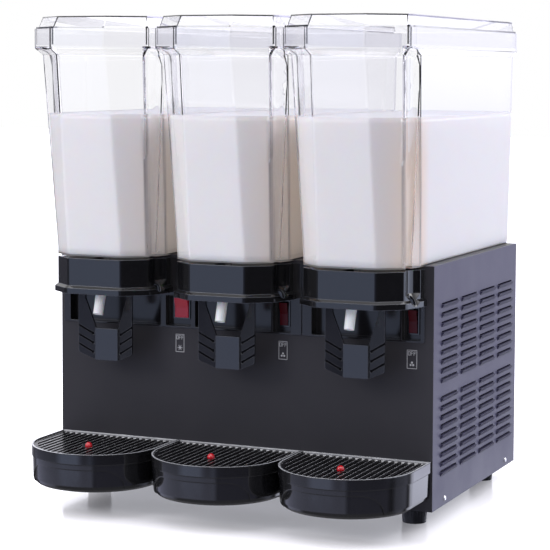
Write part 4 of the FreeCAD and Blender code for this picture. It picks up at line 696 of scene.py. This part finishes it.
# A flat square whose glow, for rays that haven't met a matt face, follows the distance from
# the box: the root of the squares of how far a place lies past it each way. Near the box the
# low glow is a painted shadow.
def makeFloor():
    mesh = bpy.data.meshes.new("floor")
    half = floorLook["half"]
    mesh.from_pydata([(-half, -half, 0), (half, -half, 0), (half, half, 0), (-half, half, 0)],
                     [], [(0, 1, 2, 3)])
    floor = bpy.data.objects.new("floor", mesh)
    bpy.context.scene.collection.objects.link(floor)
    floor.visible_glossy = False
    material, tree, shader = newMaterial("floorPaper")
    shader.inputs["Base Color"].default_value = (*floorLook["colour"], 1)
    soft = grain(tree, floorLook["patch"])
    tree.links.new(spreadValue(tree, soft, *floorLook["rough"]), shader.inputs["Roughness"])
    shader.inputs["Specular IOR Level"].default_value = floorLook["shine"]
    place = partsOf(tree, "ShaderNodeTexCoord", "Object")
    squares = []
    for axis, middle, box in zip("XY", floorLook["middle"], floorLook["box"]):
        off = reckon(tree, "ABSOLUTE", reckon(tree, "SUBTRACT", place[axis], middle))
        past = reckon(tree, "MAXIMUM", reckon(tree, "SUBTRACT", off, box), 0.0)
        squares.append(reckon(tree, "POWER", past, 2.0))
    away = reckon(tree, "SQRT", reckon(tree, "ADD", squares[0], squares[1]))
    # Painted shadow: the glow stays low near the machine's footprint.
    glow = spreadValue(tree, away, floorLook["nearGlow"], floorLook["farGlow"],
                       floorLook["near"], floorLook["far"], smooth=True)
    rays = tree.nodes.new("ShaderNodeLightPath")
    seen = reckon(tree, "MAXIMUM", rays.outputs["Is Camera Ray"],
                  rays.outputs["Is Transmission Ray"])
    fresh = reckon(tree, "LESS_THAN", rays.outputs["Diffuse Depth"], someBounces)
    seen = reckon(tree, "MULTIPLY", seen, fresh)
    tree.links.new(reckon(tree, "MULTIPLY", glow, seen), shader.inputs["Emission Strength"])
    shader.inputs["Emission Color"].default_value = (*floorLook["glowTone"], 1)
    mesh.materials.append(material)


# The studio round the machine, by compass turn from the front in degrees, positive to the
# machine's right: what the glossy sides mirror and the matt ones are filled by.
studioBand = {-180: (0.9, 0.9, 0.98), -150: (0.9, 0.9, 0.98), -120: (0.2, 0.2, 0.25),
              -100: (0.1, 0.1, 0.13), -50: (0.2, 0.22, 0.28), -36: (0.95, 1.12, 1.6),
              -12: (0.95, 1.12, 1.6), -5: (0.36, 0.4, 0.6), -1: (0.1, 0.11, 0.18),
              4: (0.03, 0.03, 0.05), 12: (0.2, 0.25, 0.4), 24: (0.05, 0.05, 0.08),
              35: (0.02, 0.02, 0.025), 80: (0.02, 0.02, 0.025), 110: (0.1, 0.1, 0.12),
              146: (0.3, 0.3, 0.38), 158: (0.95, 0.95, 1.25), 180: (0.9, 0.9, 0.98)}

# Over and under the band, tones take its place between two heights, as sines of the way's
# slope. mirrored and matt are the light's power on glossy and on matt faces. The edge tone,
# the white inside glass and the bent share are for rays that have gone through a wall.
studio = dict(top=(1.0, 1.0, 1.02), topFrom=0.1, topTo=0.34, ground=(0.05, 0.05, 0.06),
              groundFrom=-0.26, groundTo=-0.19, floor=(0.35, 0.35, 0.38), floorFrom=-0.7,
              floorTo=-0.35, mirrored=1.0, matt=0.86, insideGlass=0.45, edgeShare=0.75,
              edgeTone=(0.36, 0.35, 0.46), bentShare=0.6, under=(1.0, 1.0, 1.06))

# The studio's cards, for mirrored rays alone: each a window with soft edges in compass turn,
# in degrees, and in height, with the light it sends.
cards = {
    "roof": dict(turn=(-181, 181), turnBlur=1, height=(0.84, 1.2), heightBlur=0.1,
                 light=(3.0, 3.0, 3.2)),
    "high": dict(turn=(-181, 181), turnBlur=1, height=(-0.03, 0.34), heightBlur=0.02,
                 light=(0.5, 0.5, 0.58)),
    "frontLow": dict(turn=(-112, 17), turnBlur=5, height=(-0.55, -0.205), heightBlur=0.025,
                     light=(0.7, 0.73, 1.0)),
    "rightLow": dict(turn=(20, 92), turnBlur=5, height=(-0.55, -0.205), heightBlur=0.025,
                     light=(0.2, 0.2, 0.3)),
    "sideLow": dict(turn=(104, 136), turnBlur=6, height=(-0.55, -0.205), heightBlur=0.025,
                    light=(0.4, 0.42, 0.56)),
    "backLow": dict(turn=(146, 170), turnBlur=5, height=(-0.45, -0.2), heightBlur=0.02,
                    light=(1.6, 1.65, 1.95)),
    "rightStrip": dict(turn=(87, 134), turnBlur=3, height=(-0.17, 0.25), heightBlur=0.03,
                       light=(1.9, 2.1, 2.7)),
}


# How much of a card a way sees: 1 inside its window, 0 outside, in both measures.
def cardShare(tree, turn, height, card):
    shares = []
    for socket, key in ((turn, "turn"), (height, "height")):
        (start, stop), blur = card[key], card[key + "Blur"]
        shares.append(spreadValue(tree, socket, 0.0, 1.0, start - blur, start + blur, smooth=True))
        shares.append(spreadValue(tree, socket, 1.0, 0.0, stop - blur, stop + blur, smooth=True))
    first = reckon(tree, "MULTIPLY", shares[0], shares[1])
    return reckon(tree, "MULTIPLY", first, reckon(tree, "MULTIPLY", shares[2], shares[3]))


# A tone plus a light times its share.
def sumUp(tree, tone, light, share):
    added = tree.nodes.new("ShaderNodeVectorMath")
    added.operation = "MULTIPLY_ADD"
    tree.links.new(share, added.inputs[0])
    added.inputs[1].default_value = light
    tree.links.new(tone, added.inputs[2])
    return added.outputs["Vector"]


# The band's tone by compass turn: a colour ramp over the whole turn, scaled back up by its
# brightest part, since a ramp holds no more than 1.
def bandTone(tree, turn):
    share = reckon(tree, "MULTIPLY_ADD", turn, 0.5 / math.pi, 0.5)
    band = tree.nodes.new("ShaderNodeValToRGB")
    stops = band.color_ramp.elements
    peak = max(max(colour) for colour in studioBand.values())
    for index, (angle, colour) in enumerate(sorted(studioBand.items())):
        place = angle / 360 + 0.5
        stop = stops[index] if index < 2 else stops.new(place)
        stop.position = place
        stop.color = (*(part / peak for part in colour), 1)
    tree.links.new(share, band.inputs["Fac"])
    bright = tree.nodes.new("ShaderNodeVectorMath")
    bright.operation = "SCALE"
    bright.inputs["Scale"].default_value = peak
    tree.links.new(band.outputs["Color"], bright.inputs[0])
    return bright.outputs["Vector"]


# The light from each way: the band, eased into the tones over and under it, plus the cards
# for rays outside the glass. Rays that look straight out, or through a wall, meet white.
def makeWorld():
    world = bpy.data.worlds.new("studio")
    bpy.context.scene.world = world
    world.use_nodes = True
    tree = world.node_tree
    tree.nodes.clear()
    way = partsOf(tree, "ShaderNodeTexCoord", "Generated")
    height = way["Z"]
    turn = reckon(tree, "ARCTAN2", way["X"], reckon(tree, "MULTIPLY", way["Y"], -1.0))
    tone = bandTone(tree, turn)
    for name, low, high in (("ground", 1.0, 0.0), ("floor", 1.0, 0.0), ("top", 0.0, 1.0)):
        past = spreadValue(tree, height, low, high, studio[name + "From"], studio[name + "To"],
                           smooth=True)
        tone = ease(tree, tone, studio[name], past)
    rays = tree.nodes.new("ShaderNodeLightPath")
    fresh = reckon(tree, "LESS_THAN", rays.outputs["Diffuse Depth"], someBounces)
    inside = reckon(tree, "GREATER_THAN", rays.outputs["Transmission Depth"], someBounces)
    outside = reckon(tree, "MULTIPLY", fresh, reckon(tree, "SUBTRACT", 1.0, inside))
    again = reckon(tree, "GREATER_THAN", rays.outputs["Glossy Depth"], 1 + someBounces)
    again = reckon(tree, "MULTIPLY", again, reckon(tree, "LESS_THAN", height, 0.0))
    tone = ease(tree, tone, studio["under"], reckon(tree, "MULTIPLY", again, outside))
    degrees = reckon(tree, "MULTIPLY", turn, 180 / math.pi)
    for card in cards.values():
        share = reckon(tree, "MULTIPLY", cardShare(tree, degrees, height, card), outside)
        tone = sumUp(tree, tone, card["light"], share)
    glassy = reckon(tree, "MULTIPLY", inside, studio["edgeShare"])
    tone = ease(tree, tone, studio["edgeTone"], glassy)
    power = spreadValue(tree, fresh, studio["matt"], studio["mirrored"], 0.0, 1.0)
    light = addNode(tree, "ShaderNodeBackground")
    tree.links.new(tone, light.inputs["Color"])
    tree.links.new(power, light.inputs["Strength"])
    seen = addNode(tree, "ShaderNodeBackground", Color=(1, 1, 1, 1), Strength=1.0)
    bent = reckon(tree, "GREATER_THAN", rays.outputs["Glossy Depth"], someBounces)
    straight = reckon(tree, "MULTIPLY_ADD", bent, -studio["bentShare"], 1.0)
    passed = reckon(tree, "MULTIPLY", rays.outputs["Is Transmission Ray"], straight)
    passed = reckon(tree, "MAXIMUM", rays.outputs["Is Camera Ray"], passed)
    within = reckon(tree, "MULTIPLY", inside, studio["insideGlass"])
    passed = reckon(tree, "MAXIMUM", passed, within)
    mix = tree.nodes.new("ShaderNodeMixShader")
    out = tree.nodes.new("ShaderNodeOutputWorld")
    tree.links.new(reckon(tree, "MULTIPLY", passed, fresh), mix.inputs["Fac"])
    tree.links.new(light.outputs["Background"], mix.inputs[1])
    tree.links.new(seen.outputs["Background"], mix.inputs[2])
    tree.links.new(mix.outputs["Shader"], out.inputs["Surface"])


# Three flat lamps: each has a place, a point it aims at, its two sides and its watts.
lamps = {
    "keyLamp": dict(place=(-1.7, -2.3, 1.7), aim=(0, 0, 0.35), size=(1.3, 1.3), power=24),
    "sideLamp": dict(place=(2.2, 1.6, 2.0), aim=(0.25, 0, 0.4), size=(1.2, 1.2), power=26),
    "topLamp": dict(place=(0.0, 0.2, 2.6), aim=(0, 0, 0.4), size=(1.6, 1.2), power=4),
}


# Each lamp is turned so that its back-to-front way, -Z, runs from its place to its aim.
def makeLamps():
    for name, lamp in lamps.items():
        data = bpy.data.lights.new(name, "AREA")
        data.shape = "RECTANGLE"
        data.size, data.size_y = lamp["size"]
        data.energy = lamp["power"]
        item = bpy.data.objects.new(name, data)
        bpy.context.scene.collection.objects.link(item)
        place = Vector(lamp["place"])
        item.location = place
        item.rotation_euler = (Vector(lamp["aim"]) - place).to_track_quat("-Z", "Y").to_euler()


# The camera stands where the photograph's vanishing lines and known sizes put it.
cameraFit = dict(place=(1.0501, -2.39735, 0.58387), yaw=23.71, dip=4.02, roll=0.20,
                 lens=124.895, sensor=36.0, shift=-0.1273, near=0.05, far=60)


# Its three ways: ahead by its yaw and its dip, right and up square to that, turned by its roll.
def makeCamera():
    yaw, dip, roll = (math.radians(cameraFit[key]) for key in ("yaw", "dip", "roll"))
    ahead = Vector((-math.sin(yaw) * math.cos(dip), math.cos(yaw) * math.cos(dip), -math.sin(dip)))
    right = Vector((math.cos(yaw), math.sin(yaw), 0))
    up = right.cross(ahead)
    across = math.cos(roll) * right + math.sin(roll) * up
    above = -math.sin(roll) * right + math.cos(roll) * up
    data = bpy.data.cameras.new("camera")
    data.lens, data.sensor_width = cameraFit["lens"], cameraFit["sensor"]
    data.shift_y = cameraFit["shift"]
    data.clip_start, data.clip_end = cameraFit["near"], cameraFit["far"]
    camera = bpy.data.objects.new("camera", data)
    bpy.context.scene.collection.objects.link(camera)
    turn = Matrix((across, above, -ahead)).transposed().to_4x4()
    camera.matrix_world = Matrix.Translation(Vector(cameraFit["place"])) @ turn
    bpy.context.scene.camera = camera


makeFloor()
makeWorld()
makeLamps()
makeCamera()
bpy.context.scene.view_settings.view_transform = "Standard"
bounces = dict(through=32, mirrored=8)
paths = bpy.context.scene.cycles
paths.max_bounces = paths.transmission_bounces = bounces["through"]
paths.transparent_max_bounces = bounces["through"]
paths.glossy_bounces = bounces["mirrored"]
print("studio set")
